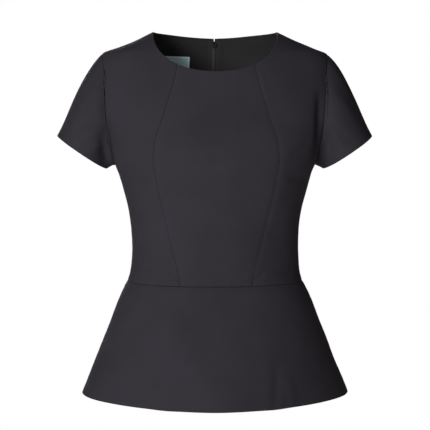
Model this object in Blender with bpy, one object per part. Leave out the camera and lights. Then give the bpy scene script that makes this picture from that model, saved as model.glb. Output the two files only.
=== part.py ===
"""Peplum top, filled out as it is worn, with nobody in it.

Metres, +Z up. The front faces -Y and the wearer's left is +X. The origin is midway between the two high
shoulder points, where the neckline meets the shoulder seams. Every cloth piece is a thin wall: its outer
face is worked out from the sections of the worn form, its inner face lies one cloth thickness inside.
"""

import math
from typing import NamedTuple

import bmesh
import bpy
import numpy as np
from mathutils import Matrix, Vector

# Cloth and seams
CLOTH = 0.0015
SEAM_GAP = 0.0003
LAYER_GAP = 0.0004
FACING_CLOTH = 0.0009
TAPE_CLOTH = 0.0008
LABEL_CLOTH = 0.0005

# Neckline, shoulder, armhole and waist
NECK_HALF_WIDTH = 0.1005
NECK_FRONT_DROP = 0.0672
NECK_SQUARENESS = 2.2
NECK_BACK_DROP = 0.006
SHOULDER_TIP_HEIGHT = -0.036
UNDERARM_HEIGHT = -0.216
WAIST_HEIGHT = -0.407
HEM_HEIGHT = -0.593

# Numbers of cells along the edges that two pieces share
ARMHOLE_CELLS = 12
SIDE_SEAM_CELLS = 10
SHOULDER_CELLS = 5
SIDE_NECK_CELLS = 6
BACK_NECK_CELLS = 7
CENTRE_CELLS = 12
PEPLUM_HALF_CELLS = 12
PEPLUM_ROWS = 9
SLEEVE_ROWS = 8

# Sleeve hem: a tilted oval, given by its two corners in the front view
SLEEVE_HEM_OUTER = Vector((0.2585, 0.0, -0.169))
SLEEVE_HEM_INNER = Vector((0.1785, 0.0, -0.2235))
SLEEVE_HEM_HALF_DEPTH = 0.058
SLEEVE_START_AT_TIP = Vector((0.108, 0.0, -0.104))
SLEEVE_START_AT_SIDE = Vector((0.070, 0.040, -0.034))
SLEEVE_START_AT_UNDERARM = Vector((0.016, 0.0, -0.006))
SLEEVE_END_AT_TIP = Vector((0.075, 0.0, -0.130))
SLEEVE_END_AT_SIDE = Vector((0.034, 0.0, -0.066))
SLEEVE_END_AT_UNDERARM = Vector((0.014, 0.0, -0.009))

# Back opening: the zip, its notch at the neck and the facing beside it
NOTCH_HALF_WIDTH = 0.0016
NOTCH_DEPTH = 0.017
ZIP_TOP = -0.0085
ZIP_END = -0.466
TAPE_HALF_WIDTH = 0.0123
TAPE_CLEAR_OF_TOP = 0.004
SMALLEST_AREA = 1e-12
# The facing's extent, in cells of the back panel that it lies on
FACING_TOP_ROW = 0.06
FACING_WHOLE_ROWS = 3
FACING_BOTTOM_ROW = 3.6
FACING_SHOULDER_CELLS = 2
FACING_STRAIGHT_CELLS = 5
FACING_SHAPED_CELLS = 4
FACING_DRAWN_IN = 3.0

# Label inside the back neck, on the wearer's right
LABEL_CENTRE_X = -0.066
LABEL_CENTRE_HEIGHT = -0.0445
LABEL_WIDTH = 0.048
LABEL_RISE = 0.022
LABEL_TILT = math.radians(-2.0)
LABEL_CELLS = 6
LABEL_ROWS = 3

# Zip slider and its pull tab: across, down the zip, and out from the cloth
SLIDER_HEIGHT = -0.0145
SLIDER_WIDTH = 0.0070
SLIDER_LENGTH = 0.0090
SLIDER_THICKNESS = 0.0022
SLIDER_NECK_WIDTH = 0.0009
SLIDER_NECK_LENGTH = 0.0030
CROWN_WIDTH = 0.0032
CROWN_LENGTH = 0.0068
CROWN_THICKNESS = 0.0006
BRIDGE_WIDTH = 0.0010
BRIDGE_LENGTH = 0.0046
BRIDGE_METAL = 0.0007
BRIDGE_CLEAR_HEIGHT = 0.0018
BRIDGE_FOOT = 0.00002
SLIDER_ROUNDING = 0.0018
METAL_OVERLAP = 0.0002
TAB_BAR = 0.0009
TAB_END_CELLS = 8
TAB_LENGTH = 0.0170
TAB_TOP_WIDTH = 0.0040
TAB_END_WIDTH = 0.0052
TAB_THICKNESS = 0.0009
TAB_EYE_WIDTH = 0.0018
TAB_EYE_LENGTH = 0.0028
TAB_LEAN = math.radians(4.0)


class Section(NamedTuple):
    """One level of the worn form: a rounded oval with its own front and back."""

    height: float
    half_width: float
    front_depth: float
    back_depth: float
    front_squareness: float
    back_squareness: float


BODICE_SECTIONS = (
    Section(0.000, 0.1000, 0.0500, 0.0500, 2.0, 2.0),
    Section(-0.0065, 0.1141, 0.0545, 0.0560, 2.0, 2.0),
    Section(-0.0130, 0.1277, 0.0580, 0.0610, 2.0, 2.0),
    Section(-0.0195, 0.1426, 0.0610, 0.0660, 2.0, 2.0),
    Section(-0.0260, 0.1587, 0.0640, 0.0705, 2.0, 2.0),
    Section(-0.0360, 0.1845, 0.0680, 0.0765, 2.05, 2.05),
    Section(-0.0550, 0.1945, 0.0755, 0.0865, 2.2, 2.2),
    Section(-0.0850, 0.1960, 0.0850, 0.0985, 2.5, 2.5),
    Section(-0.1250, 0.1910, 0.0980, 0.1080, 2.8, 2.75),
    Section(-0.1650, 0.1795, 0.1110, 0.1110, 2.9, 2.8),
    Section(-0.1950, 0.1690, 0.1190, 0.1095, 2.8, 2.7),
    Section(-0.2160, 0.1630, 0.1215, 0.1075, 2.7, 2.6),
    Section(-0.2340, 0.1562, 0.1205, 0.1045, 2.6, 2.5),
    Section(-0.2590, 0.1494, 0.1160, 0.1000, 2.5, 2.4),
    Section(-0.2920, 0.1418, 0.1085, 0.0930, 2.4, 2.3),
    Section(-0.3240, 0.1378, 0.1025, 0.0875, 2.3, 2.25),
    Section(-0.3500, 0.1368, 0.0985, 0.0845, 2.25, 2.2),
    Section(-0.3750, 0.1380, 0.0965, 0.0840, 2.2, 2.2),
    Section(-0.3920, 0.1400, 0.0960, 0.0850, 2.2, 2.2),
    Section(-0.4070, 0.1443, 0.0970, 0.0875, 2.2, 2.2),
)

PEPLUM_SECTIONS = (
    Section(-0.407, 0.1446, 0.0972, 0.0877, 2.20, 2.20),
    Section(-0.424, 0.1527, 0.1025, 0.0945, 2.15, 2.15),
    Section(-0.445, 0.1621, 0.1095, 0.1030, 2.05, 2.10),
    Section(-0.485, 0.1778, 0.1225, 0.1190, 1.95, 2.00),
    Section(-0.525, 0.1933, 0.1360, 0.1335, 1.88, 1.95),
    Section(-0.565, 0.2098, 0.1500, 0.1480, 1.80, 1.90),
    Section(-0.593, 0.2214, 0.1600, 0.1580, 1.75, 1.85),
)


class Fold(NamedTuple):
    """A soft flute of the peplum, deepest at the hem. The turn is measured from the centre front."""

    turn: float
    spread: float
    depth: float


PEPLUM_FOLDS = (
    Fold(math.radians(-29), math.radians(7), 0.0022),
    Fold(math.radians(33), math.radians(8), 0.0026),
    Fold(math.radians(-74), math.radians(9), 0.0016),
    Fold(math.radians(79), math.radians(8), 0.0014),
    Fold(math.radians(140), math.radians(10), 0.0030),
    Fold(math.radians(-146), math.radians(9), 0.0026),
)

# Princess seam: its distance from the centre front at each height, from the neckline to the waist
PRINCESS_SEAM = (
    (-0.0600, 0.0620),
    (-0.0780, 0.0655),
    (-0.1200, 0.0782),
    (-0.1450, 0.0852),
    (-0.1580, 0.0905),
    (-0.1810, 0.0972),
    (-0.2050, 0.0990),
    (-0.2330, 0.0952),
    (-0.2720, 0.0882),
    (-0.3130, 0.0784),
    (-0.3530, 0.0692),
    (-0.3850, 0.0608),
    (-0.4070, 0.0580),
)

# Armhole: how far out its edge runs at each height, from the shoulder tip to the underarm
ARMHOLE_EDGE = (
    (-0.0360, 0.1845),
    (-0.0550, 0.1808),
    (-0.0850, 0.1775),
    (-0.1250, 0.1755),
    (-0.1650, 0.1722),
    (-0.1950, 0.1668),
    (-0.2160, 0.1630),
)


class Smooth:
    """A curve through a table's points that never overshoots them."""

    def __init__(self, places, values):
        order = np.argsort(places)
        self.places = np.array(places, dtype=float)[order]
        self.values = np.array(values, dtype=float)[order]
        steps = np.diff(self.places)
        slopes = np.diff(self.values) / steps
        inner = []
        for before, after, width, next_width in zip(slopes, slopes[1:], steps, steps[1:]):
            if before * after <= 0.0:
                inner.append(0.0)
                continue
            heavy = 2.0 * next_width + width
            light = next_width + 2.0 * width
            inner.append((heavy + light) / (heavy / before + light / after))
        self.slopes = np.array([slopes[0], *inner, slopes[-1]])

    def __call__(self, place):
        if place <= self.places[0]:
            return self.values[0] + self.slopes[0] * (place - self.places[0])
        if place >= self.places[-1]:
            return self.values[-1] + self.slopes[-1] * (place - self.places[-1])
        cell = int(np.searchsorted(self.places, place)) - 1
        width = self.places[cell + 1] - self.places[cell]
        share = (place - self.places[cell]) / width
        rise = share * share * (3.0 - 2.0 * share)
        leave = share * (1.0 - share) ** 2
        arrive = share * share * (share - 1.0)
        value = self.values[cell] + rise * (self.values[cell + 1] - self.values[cell])
        return value + width * (leave * self.slopes[cell] + arrive * self.slopes[cell + 1])


class Form:
    """A stack of sections. A place on it is a turn from the centre front, towards +X, and a height."""

    def __init__(self, sections, folds=()):
        heights = [section.height for section in sections]
        self.half_width = Smooth(heights, [section.half_width for section in sections])
        self.front_depth = Smooth(heights, [section.front_depth for section in sections])
        self.back_depth = Smooth(heights, [section.back_depth for section in sections])
        self.front_squareness = Smooth(heights, [section.front_squareness for section in sections])
        self.back_squareness = Smooth(heights, [section.back_squareness for section in sections])
        self.top = max(heights)
        self.bottom = min(heights)
        self.folds = folds

    def oval(self, height, behind):
        depth = self.back_depth(height) if behind else self.front_depth(height)
        squareness = self.back_squareness(height) if behind else self.front_squareness(height)
        return self.half_width(height), depth, squareness

    def point(self, turn, height):
        behind = math.cos(turn) < 0.0
        width, depth, squareness = self.oval(height, behind)
        across = abs(math.sin(turn)) / width
        along = abs(math.cos(turn)) / depth
        reach = (across**squareness + along**squareness) ** (-1.0 / squareness)
        fall = (self.top - height) / (self.top - self.bottom)
        for fold in self.folds:
            off = math.remainder(turn - fold.turn, 2.0 * math.pi) / fold.spread
            reach += fold.depth * max(fall, 0.0) ** 1.6 * math.exp(-off * off)
        return Vector((reach * math.sin(turn), -reach * math.cos(turn), height))

    def normal(self, turn, height):
        step = 0.001
        around = self.point(turn + step, height) - self.point(turn - step, height)
        upward = self.point(turn, height + step) - self.point(turn, height - step)
        return around.cross(upward).normalized()

    def turn_at(self, across, height, behind=False):
        """The turn whose point lies this far from the middle plane."""
        width, depth, squareness = self.oval(height, behind)
        share = min(abs(across) / width, 1.0)
        along = depth * (1.0 - share**squareness) ** (1.0 / squareness)
        turn = math.atan2(abs(across), -along if behind else along)
        return math.copysign(turn, across)


BODICE = Form(BODICE_SECTIONS)
PEPLUM = Form(PEPLUM_SECTIONS, PEPLUM_FOLDS)
PRINCESS = Smooth([height for height, _ in PRINCESS_SEAM], [across for _, across in PRINCESS_SEAM])
ARMHOLE = Smooth([height for height, _ in ARMHOLE_EDGE], [across for _, across in ARMHOLE_EDGE])
HALF_TURN = math.pi
QUARTER_TURN = math.pi / 2.0


def evenly(start, end, cells):
    """Cells + 1 values from start to end."""
    return [start + (end - start) * step / cells for step in range(cells + 1)]


def front_neck(across):
    """A place on the front neckline, this far from the middle plane."""
    share = min(abs(across) / NECK_HALF_WIDTH, 1.0)
    height = -NECK_FRONT_DROP * (1.0 - share**NECK_SQUARENESS) ** (1.0 / NECK_SQUARENESS)
    return BODICE.turn_at(across, height), height


def side_neck(cells):
    """The front neckline from the princess seam up to the high shoulder point."""
    bend = 2.0 / NECK_SQUARENESS
    start = math.asin((PRINCESS(PRINCESS_SEAM[0][0]) / NECK_HALF_WIDTH) ** (1.0 / bend))
    places = []
    for left in evenly(1.0, 0.0, cells):
        angle = QUARTER_TURN - (QUARTER_TURN - start) * left * left
        places.append(front_neck(NECK_HALF_WIDTH * math.sin(angle) ** bend))
    places[-1] = (QUARTER_TURN, 0.0)
    return places


def back_neck(start_turn, cells):
    """The back neckline from a turn near the centre back to the high shoulder point."""
    places = []
    for turn in evenly(start_turn, QUARTER_TURN, cells):
        places.append((turn, -NECK_BACK_DROP * abs(math.cos(turn)) ** 1.5))
    return places


def shoulder(cells):
    """The shoulder seam from the high shoulder point to the tip."""
    return [(QUARTER_TURN, height) for height in evenly(0.0, SHOULDER_TIP_HEIGHT, cells)]


def armhole(behind):
    """The armhole from the shoulder tip to the underarm, closer together at both ends."""
    middle = (SHOULDER_TIP_HEIGHT + UNDERARM_HEIGHT) / 2.0
    half = (SHOULDER_TIP_HEIGHT - UNDERARM_HEIGHT) / 2.0
    places = [(QUARTER_TURN, SHOULDER_TIP_HEIGHT)]
    for angle in evenly(0.0, math.pi, ARMHOLE_CELLS)[1:-1]:
        height = middle + half * math.cos(angle)
        places.append((BODICE.turn_at(ARMHOLE(height), height, behind), height))
    places.append((QUARTER_TURN, UNDERARM_HEIGHT))
    return places


def side_seam():
    """The side seam from below the underarm to the waist."""
    heights = evenly(UNDERARM_HEIGHT, WAIST_HEIGHT, SIDE_SEAM_CELLS)
    return [(QUARTER_TURN, height) for height in heights[1:]]


def notch_half_width(height):
    """Half the width between the two edges of the back opening."""
    neck = -NECK_BACK_DROP
    share = min(max((neck - height) / NOTCH_DEPTH, 0.0), 1.0)
    return NOTCH_HALF_WIDTH + (SEAM_GAP / 2.0 - NOTCH_HALF_WIDTH) * share


def coons(top, bottom, left, right):
    """Fills four edges of places with a grid of places, row by row."""
    across = len(top) - 1
    down = len(left) - 1
    top, bottom, left, right = (np.array(edge) for edge in (top, bottom, left, right))
    grid = []
    for row in range(down + 1):
        fall = row / down
        line = []
        for column in range(across + 1):
            share = column / across
            ruled = (1 - fall) * top[column] + fall * bottom[column]
            crossed = (1 - share) * left[row] + share * right[row]
            corners = (1 - fall) * ((1 - share) * top[0] + share * top[-1])
            corners = corners + fall * ((1 - share) * bottom[0] + share * bottom[-1])
            line.append(tuple(ruled + crossed - corners))
        grid.append(line)
    return grid


def lift(form, places, side=1):
    """The points and outward normals of a grid of places, mirrored for side -1."""
    points = []
    normals = []
    for line in places:
        normals.append([form.normal(side * turn, height) for turn, height in line])
        points.append([form.point(side * turn, height) for turn, height in line])
    return points, normals


def inset(points, edges, gap):
    """Draws the named edges of a grid of points back by the gap."""
    moves = {
        "top": ([(0, column) for column in range(len(points[0]))], (1, 0)),
        "bottom": ([(-1, column) for column in range(len(points[0]))], (-1, 0)),
        "left": ([(row, 0) for row in range(len(points))], (0, 1)),
        "right": ([(row, -1) for row in range(len(points))], (0, -1)),
    }
    for edge in edges:
        cells, (down, along) = moves[edge]
        for row, column in cells:
            point = points[row][column]
            toward = points[row + down][column + along] - point
            points[row][column] = point + toward.normalized() * gap
    return points


def material(name, colour, roughness, metallic=0.0):
    """A plain surface of one colour."""
    made = bpy.data.materials.new(name)
    made.use_nodes = True
    shader = made.node_tree.nodes["Principled BSDF"]
    shader.inputs["Base Color"].default_value = (*colour, 1.0)
    shader.inputs["Roughness"].default_value = roughness
    shader.inputs["Metallic"].default_value = metallic
    return made


def add_object(name, mesh_data, surface):
    """A named object from a bmesh, shaded smooth except over its sharp edges."""
    bmesh.ops.recalc_face_normals(mesh_data, faces=mesh_data.faces)
    mesh = bpy.data.meshes.new(name)
    mesh_data.to_mesh(mesh)
    mesh_data.free()
    mesh.shade_smooth()
    mesh.set_sharp_from_angle(angle=math.radians(40))
    mesh.materials.append(surface)
    made = bpy.data.objects.new(name, mesh)
    bpy.context.scene.collection.objects.link(made)
    return made


def wall(name, outer, normals, thickness, surface, round_tube=False):
    """A closed wall: the outer grid of points, an inner one behind it, and the rim between them."""
    inner = []
    for row, line in enumerate(outer):
        inner.append([point - normals[row][column] * thickness for column, point in enumerate(line)])
    mesh_data = bmesh.new()
    faces = []
    layers = []
    for grid in (outer, inner):
        layers.append([[mesh_data.verts.new(point) for point in line] for line in grid])
    rows = len(outer)
    columns = len(outer[0])
    last_cell = columns if round_tube else columns - 1
    for row in range(rows - 1):
        for column in range(last_cell):
            beside = (column + 1) % columns
            for layer in layers:
                here, below = layer[row], layer[row + 1]
                faces.append((here[column], here[beside], below[beside], below[column]))
    outside, inside = layers
    for column in range(last_cell):
        beside = (column + 1) % columns
        for row in (0, rows - 1):
            over, under = outside[row], inside[row]
            faces.append((over[column], over[beside], under[beside], under[column]))
    if not round_tube:
        for row in range(rows - 1):
            for column in (0, columns - 1):
                over, over_below = outside[row][column], outside[row + 1][column]
                under, under_below = inside[row][column], inside[row + 1][column]
                faces.append((over, over_below, under_below, under))
    for face in faces:
        mesh_data.faces.new(face)
    return add_object(name, mesh_data, surface)


def princess_places():
    """The princess seam of the wearer's left, from the neckline to the waist."""
    top = front_neck(PRINCESS(PRINCESS_SEAM[0][0]))
    heights = evenly(top[1], WAIST_HEIGHT, ARMHOLE_CELLS + SIDE_SEAM_CELLS)
    return [top] + [(BODICE.turn_at(PRINCESS(height), height), height) for height in heights[1:]]


def build_front(cloth):
    """The centre front panel and the two side front panels."""
    seam = princess_places()
    mirrored = [(-turn, height) for turn, height in seam]
    reach = PRINCESS(PRINCESS_SEAM[0][0])
    neck = [front_neck(across) for across in evenly(-reach, reach, CENTRE_CELLS)]
    waist = [(turn, WAIST_HEIGHT) for turn in evenly(mirrored[-1][0], seam[-1][0], CENTRE_CELLS)]
    points, normals = lift(BODICE, coons(neck, waist, mirrored, seam))
    inset(points, ("left", "right", "bottom"), SEAM_GAP / 2.0)
    wall("bodice_front_centre", points, normals, CLOTH, cloth)

    top = side_neck(SIDE_NECK_CELLS) + shoulder(SHOULDER_CELLS)[1:]
    bottom = [(turn, WAIST_HEIGHT) for turn in evenly(seam[-1][0], QUARTER_TURN, len(top) - 1)]
    places = coons(top, bottom, seam, armhole(False) + side_seam())
    for side, word in ((1, "left"), (-1, "right")):
        points, normals = lift(BODICE, places, side)
        inset(points, ("left", "right", "bottom"), SEAM_GAP / 2.0)
        draw_back_shoulder(points, SIDE_NECK_CELLS)
        wall(f"bodice_front_side_{word}", points, normals, CLOTH, cloth)


def draw_back_shoulder(points, first):
    """Moves the shoulder seam's edge of a panel back by half the seam gap."""
    for column in range(first, len(points[0])):
        toward = points[1][column] - points[0][column]
        points[0][column] = points[0][column] + toward.normalized() * SEAM_GAP / 2.0


def build_back(cloth):
    """The two back panels, which meet at the zip."""
    neck_turn = BODICE.turn_at(NOTCH_HALF_WIDTH, -NECK_BACK_DROP, True)
    top = back_neck(neck_turn, BACK_NECK_CELLS) + shoulder(SHOULDER_CELLS)[1:]
    heights = evenly(-NECK_BACK_DROP, WAIST_HEIGHT, ARMHOLE_CELLS + SIDE_SEAM_CELLS)
    centre = [(BODICE.turn_at(notch_half_width(height), height, True), height) for height in heights]
    centre[0] = top[0]
    bottom = [(turn, WAIST_HEIGHT) for turn in evenly(centre[-1][0], QUARTER_TURN, len(top) - 1)]
    places = coons(top, bottom, centre, armhole(True) + side_seam())
    panels = {}
    for side, word in ((1, "left"), (-1, "right")):
        points, normals = lift(BODICE, places, side)
        inset(points, ("right", "bottom"), SEAM_GAP / 2.0)
        draw_back_shoulder(points, BACK_NECK_CELLS)
        wall(f"bodice_back_{word}", points, normals, CLOTH, cloth)
        panels[word] = (points, normals)
    return panels


def sleeve_start(share, behind):
    """The direction in which the sleeve leaves the armhole, at a share of the way to the underarm."""
    return blend_around(share, behind, SLEEVE_START_AT_TIP, SLEEVE_START_AT_SIDE, SLEEVE_START_AT_UNDERARM)


def sleeve_end(share, behind):
    """The direction in which the sleeve reaches its hem, at a share of the way to the underarm."""
    return blend_around(share, behind, SLEEVE_END_AT_TIP, SLEEVE_END_AT_SIDE, SLEEVE_END_AT_UNDERARM)


def blend_around(share, behind, at_tip, at_side, at_underarm):
    """Mixes three directions around a sleeve. The middle one leans to the front, or to the back behind."""
    angle = share * math.pi
    lean = Vector((at_side.x, at_side.y if behind else -at_side.y, at_side.z))
    mixed = at_tip * max(math.cos(angle), 0.0) ** 2 + at_underarm * max(-math.cos(angle), 0.0) ** 2
    return mixed + lean * math.sin(angle) ** 2


def sleeve_hem(share, behind):
    """The hem's point, at a share of the way from the outer corner to the inner one."""
    angle = share * math.pi
    middle = (SLEEVE_HEM_OUTER + SLEEVE_HEM_INNER) / 2.0
    reach = (SLEEVE_HEM_OUTER - SLEEVE_HEM_INNER) / 2.0
    depth = SLEEVE_HEM_HALF_DEPTH if behind else -SLEEVE_HEM_HALF_DEPTH
    return middle + reach * math.cos(angle) + Vector((0.0, depth * math.sin(angle), 0.0))


def sleeve_rings():
    """Rings of points of the left sleeve, from the armhole to the hem, and the armhole's normals."""
    around = [(place, row / ARMHOLE_CELLS, False) for row, place in enumerate(armhole(False))]
    returning = [(place, row / ARMHOLE_CELLS, True) for row, place in enumerate(armhole(True))]
    around += returning[-2:0:-1]
    rings = []
    for row in range(SLEEVE_ROWS + 1):
        along = row / SLEEVE_ROWS
        rise = along * along * (3.0 - 2.0 * along)
        leave = along * (1.0 - along) ** 2
        arrive = along * along * (along - 1.0)
        ring = []
        for (turn, height), share, behind in around:
            start = BODICE.point(turn, height)
            end = sleeve_hem(share, behind)
            point = start.lerp(end, rise)
            point += sleeve_start(share, behind) * leave + sleeve_end(share, behind) * arrive
            ring.append(point)
        rings.append(ring)
    body_normals = [BODICE.normal(turn, height) for (turn, height), _, _ in around]
    return rings, body_normals


def ring_normals(rings):
    """Outward normals of rings of points around a tube."""
    count = len(rings[0])
    normals = []
    for row, ring in enumerate(rings):
        before = rings[max(row - 1, 0)]
        after = rings[min(row + 1, len(rings) - 1)]
        line = []
        for column in range(count):
            around = ring[(column + 1) % count] - ring[column - 1]
            line.append((after[column] - before[column]).cross(around).normalized())
        normals.append(line)
    return normals


def build_sleeves(cloth):
    """The two short set-in sleeves. Each starts on the armhole, one seam gap from the bodice."""
    rings, body_normals = sleeve_rings()
    normals = ring_normals(rings)
    middle = sum(rings[3], Vector()) / len(rings[3])
    if (rings[3][0] - middle).dot(normals[3][0]) < 0.0:
        normals = [[-normal for normal in line] for line in normals]
    armhole_ring = [point.copy() for point in rings[0]]
    for column, body_normal in enumerate(body_normals):
        along = armhole_ring[(column + 1) % len(armhole_ring)] - armhole_ring[column - 1]
        away = body_normal.cross(along).normalized()
        run = (rings[1][column] - armhole_ring[column]).normalized()
        valley = min(max(-2.0 * normals[0][column].dot(away), 0.0), 1.0)
        rings[0][column] = armhole_ring[column] + (away + run).normalized() * SEAM_GAP
        normals[0][column] = (body_normal + normals[0][column] * valley).normalized()
    for side, word in ((1, "left"), (-1, "right")):
        mirror = Matrix.Diagonal((side, 1.0, 1.0))
        outer = [[mirror @ point for point in ring] for ring in rings]
        outward = [[mirror @ normal for normal in line] for line in normals]
        wall(f"sleeve_{word}", outer, outward, CLOTH, cloth, round_tube=True)


def build_peplum(cloth):
    """The flared peplum: one front and two backs."""
    heights = evenly(WAIST_HEIGHT, HEM_HEIGHT, PEPLUM_ROWS)
    turns = evenly(-QUARTER_TURN, QUARTER_TURN, 2 * PEPLUM_HALF_CELLS)
    points, normals = lift(PEPLUM, [[(turn, height) for turn in turns] for height in heights])
    inset(points, ("left", "right", "top"), SEAM_GAP / 2.0)
    wall("peplum_front", points, normals, CLOTH, cloth)
    panels = {}
    for side, word in ((1, "left"), (-1, "right")):
        places = []
        for height in heights:
            centre = PEPLUM.turn_at(SEAM_GAP / 2.0, height, True)
            places.append([(turn, height) for turn in evenly(centre, QUARTER_TURN, PEPLUM_HALF_CELLS)])
        points, normals = lift(PEPLUM, places, side)
        inset(points, ("right", "top"), SEAM_GAP / 2.0)
        wall(f"peplum_back_{word}", points, normals, CLOTH, cloth)
        panels[word] = (points, normals)
    return panels


def between(grid, column, row):
    """A point or normal of a grid, at a column and a row that may lie between its own."""
    column = min(max(column, 0.0), len(grid[0]) - 1.0)
    row = min(max(row, 0.0), len(grid) - 1.0)
    left, top = min(int(column), len(grid[0]) - 2), min(int(row), len(grid) - 2)
    across, down = column - left, row - top
    upper = grid[top][left].lerp(grid[top][left + 1], across)
    lower = grid[top + 1][left].lerp(grid[top + 1][left + 1], across)
    return upper.lerp(lower, down)


def flat_cross(first, second):
    """The cross product of two directions as seen from behind."""
    return first.x * second.z - second.x * first.z


def seen_from_behind(panel, across, height):
    """A panel's point and normal at a distance from the middle plane and a height."""
    points, normals = panel
    best = None
    for row in range(len(points) - 1):
        for column in range(len(points[0]) - 1):
            corners = ((row, column), (row, column + 1), (row + 1, column), (row + 1, column + 1))
            for three in (corners[:3], corners[1:]):
                first, second, third = (points[r][c] for r, c in three)
                area = flat_cross(second - first, third - first)
                if abs(area) < SMALLEST_AREA:
                    continue
                toward = Vector((across - first.x, 0.0, height - first.z))
                to_second = flat_cross(toward, third - first) / area
                to_third = flat_cross(second - first, toward) / area
                outside = max(-to_second, -to_third, to_second + to_third - 1.0)
                if best is None or outside < best[0]:
                    point = first + (second - first) * to_second + (third - first) * to_third
                    base, far, low = (normals[r][c] for r, c in three)
                    normal = base + (far - base) * to_second + (low - base) * to_third
                    best = (outside, point, normal.normalized())
    return best[1], best[2]


def build_facings(cloth, panels):
    """The shaped facings inside the back neck, from beside the zip to the shoulder."""
    last_column = BACK_NECK_CELLS + FACING_SHOULDER_CELLS
    rows = [FACING_TOP_ROW, *range(1, FACING_WHOLE_ROWS + 1), FACING_BOTTOM_ROW]
    for word, (points, normals) in panels.items():
        side = 1.0 if word == "left" else -1.0
        outer = []
        outward = []
        for row in rows:
            near, far = between(points, 0.0, row), between(points, 1.0, row)
            beside_tape = (side * (TAPE_HALF_WIDTH + SEAM_GAP) - near.x) / (far.x - near.x)
            drawn_in = FACING_DRAWN_IN * math.sqrt(row / FACING_BOTTOM_ROW)
            columns = [beside_tape, *range(1, FACING_STRAIGHT_CELLS + 1)]
            columns += evenly(columns[-1], last_column - drawn_in, FACING_SHAPED_CELLS)[1:]
            line_normals = [between(normals, column, row).normalized() for column in columns]
            line = []
            for column, normal in zip(columns, line_normals):
                line.append(between(points, column, row) - normal * (CLOTH + LAYER_GAP))
            outer.append(line)
            outward.append(line_normals)
        wall(f"back_facing_{word}", outer, outward, FACING_CLOTH, cloth)


def build_zip_tapes(cloth, panels, skirts):
    """The two woven tapes of the zip, on the inner face of the back."""
    bodice_rows = [line[0].z for line in panels["left"][0][:-1]]
    peplum_rows = [line[0].z for line in skirts["left"][0][1:]]
    heights = [ZIP_TOP]
    heights += [height for height in bodice_rows if height < ZIP_TOP - TAPE_CLEAR_OF_TOP]
    heights.append(WAIST_HEIGHT)
    heights += [height for height in peplum_rows if height > ZIP_END]
    heights.append(ZIP_END)
    for word in ("left", "right"):
        side = 1.0 if word == "left" else -1.0
        outer = []
        outward = []
        for height in heights:
            line = []
            line_normals = []
            for across in (notch_half_width(height) + SEAM_GAP / 2.0, TAPE_HALF_WIDTH):
                panel = panels[word] if height >= WAIST_HEIGHT else skirts[word]
                point, normal = seen_from_behind(panel, side * across, height)
                if height == WAIST_HEIGHT:
                    other = seen_from_behind(skirts[word], side * across, height)[1]
                    normal = (normal + other).normalized()
                line.append(point - normal * (CLOTH + LAYER_GAP))
                line_normals.append(normal)
            outer.append(line)
            outward.append(line_normals)
        wall(f"zip_tape_{word}", outer, outward, TAPE_CLOTH, cloth)


def build_label(cloth, panel):
    """The plain woven label, sewn on the facing."""
    outer = []
    outward = []
    depth = CLOTH + LAYER_GAP + FACING_CLOTH + LAYER_GAP
    for row in evenly(LABEL_RISE / 2.0, -LABEL_RISE / 2.0, LABEL_ROWS):
        line = []
        line_normals = []
        for along in evenly(-LABEL_WIDTH / 2.0, LABEL_WIDTH / 2.0, LABEL_CELLS):
            across = LABEL_CENTRE_X + along * math.cos(LABEL_TILT) - row * math.sin(LABEL_TILT)
            height = LABEL_CENTRE_HEIGHT + along * math.sin(LABEL_TILT) + row * math.cos(LABEL_TILT)
            point, normal = seen_from_behind(panel, across, height)
            line.append(point - normal * depth)
            line_normals.append(normal)
        outer.append(line)
        outward.append(line_normals)
    wall("label", outer, outward, LABEL_CLOTH, cloth)


def zip_frame():
    """The frame of the slider on the outer face: x across, y down the zip, z out of the cloth."""
    point = BODICE.point(HALF_TURN, SLIDER_HEIGHT)
    outward = BODICE.normal(HALF_TURN, SLIDER_HEIGHT)
    down = Vector((1.0, 0.0, 0.0)).cross(outward)
    if down.z > 0.0:
        down = -down
    across = down.cross(outward)
    return Matrix(
        (
            (across.x, down.x, outward.x, point.x),
            (across.y, down.y, outward.y, point.y),
            (across.z, down.z, outward.z, point.z),
            (0.0, 0.0, 0.0, 1.0),
        )
    )


def block(low, high):
    """A box between two corners."""
    low, high = Vector(low), Vector(high)
    mesh_data = bmesh.new()
    bmesh.ops.create_cube(mesh_data, size=1.0)
    size = high - low
    bmesh.ops.scale(mesh_data, vec=size, verts=mesh_data.verts)
    bmesh.ops.translate(mesh_data, vec=(low + high) / 2.0, verts=mesh_data.verts)
    return mesh_data


def guide(name, mesh_data):
    """A shape that only joins or cuts another one."""
    bmesh.ops.recalc_face_normals(mesh_data, faces=mesh_data.faces)
    mesh = bpy.data.meshes.new(name)
    mesh_data.to_mesh(mesh)
    mesh_data.free()
    made = bpy.data.objects.new(name, mesh)
    made.hide_render = True
    made.display_type = "WIRE"
    bpy.context.scene.collection.objects.link(made)
    return made


def combine(target, other, operation):
    """Adds or cuts a guide with a Boolean modifier."""
    modifier = target.modifiers.new(other.name, "BOOLEAN")
    modifier.operation = operation
    modifier.solver = "EXACT"
    modifier.object = other
    other.parent = target


def edge_run(edge):
    """How far an edge runs across, along and up."""
    start, end = (vert.co for vert in edge.verts)
    return Vector([abs(part) for part in end - start])


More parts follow.
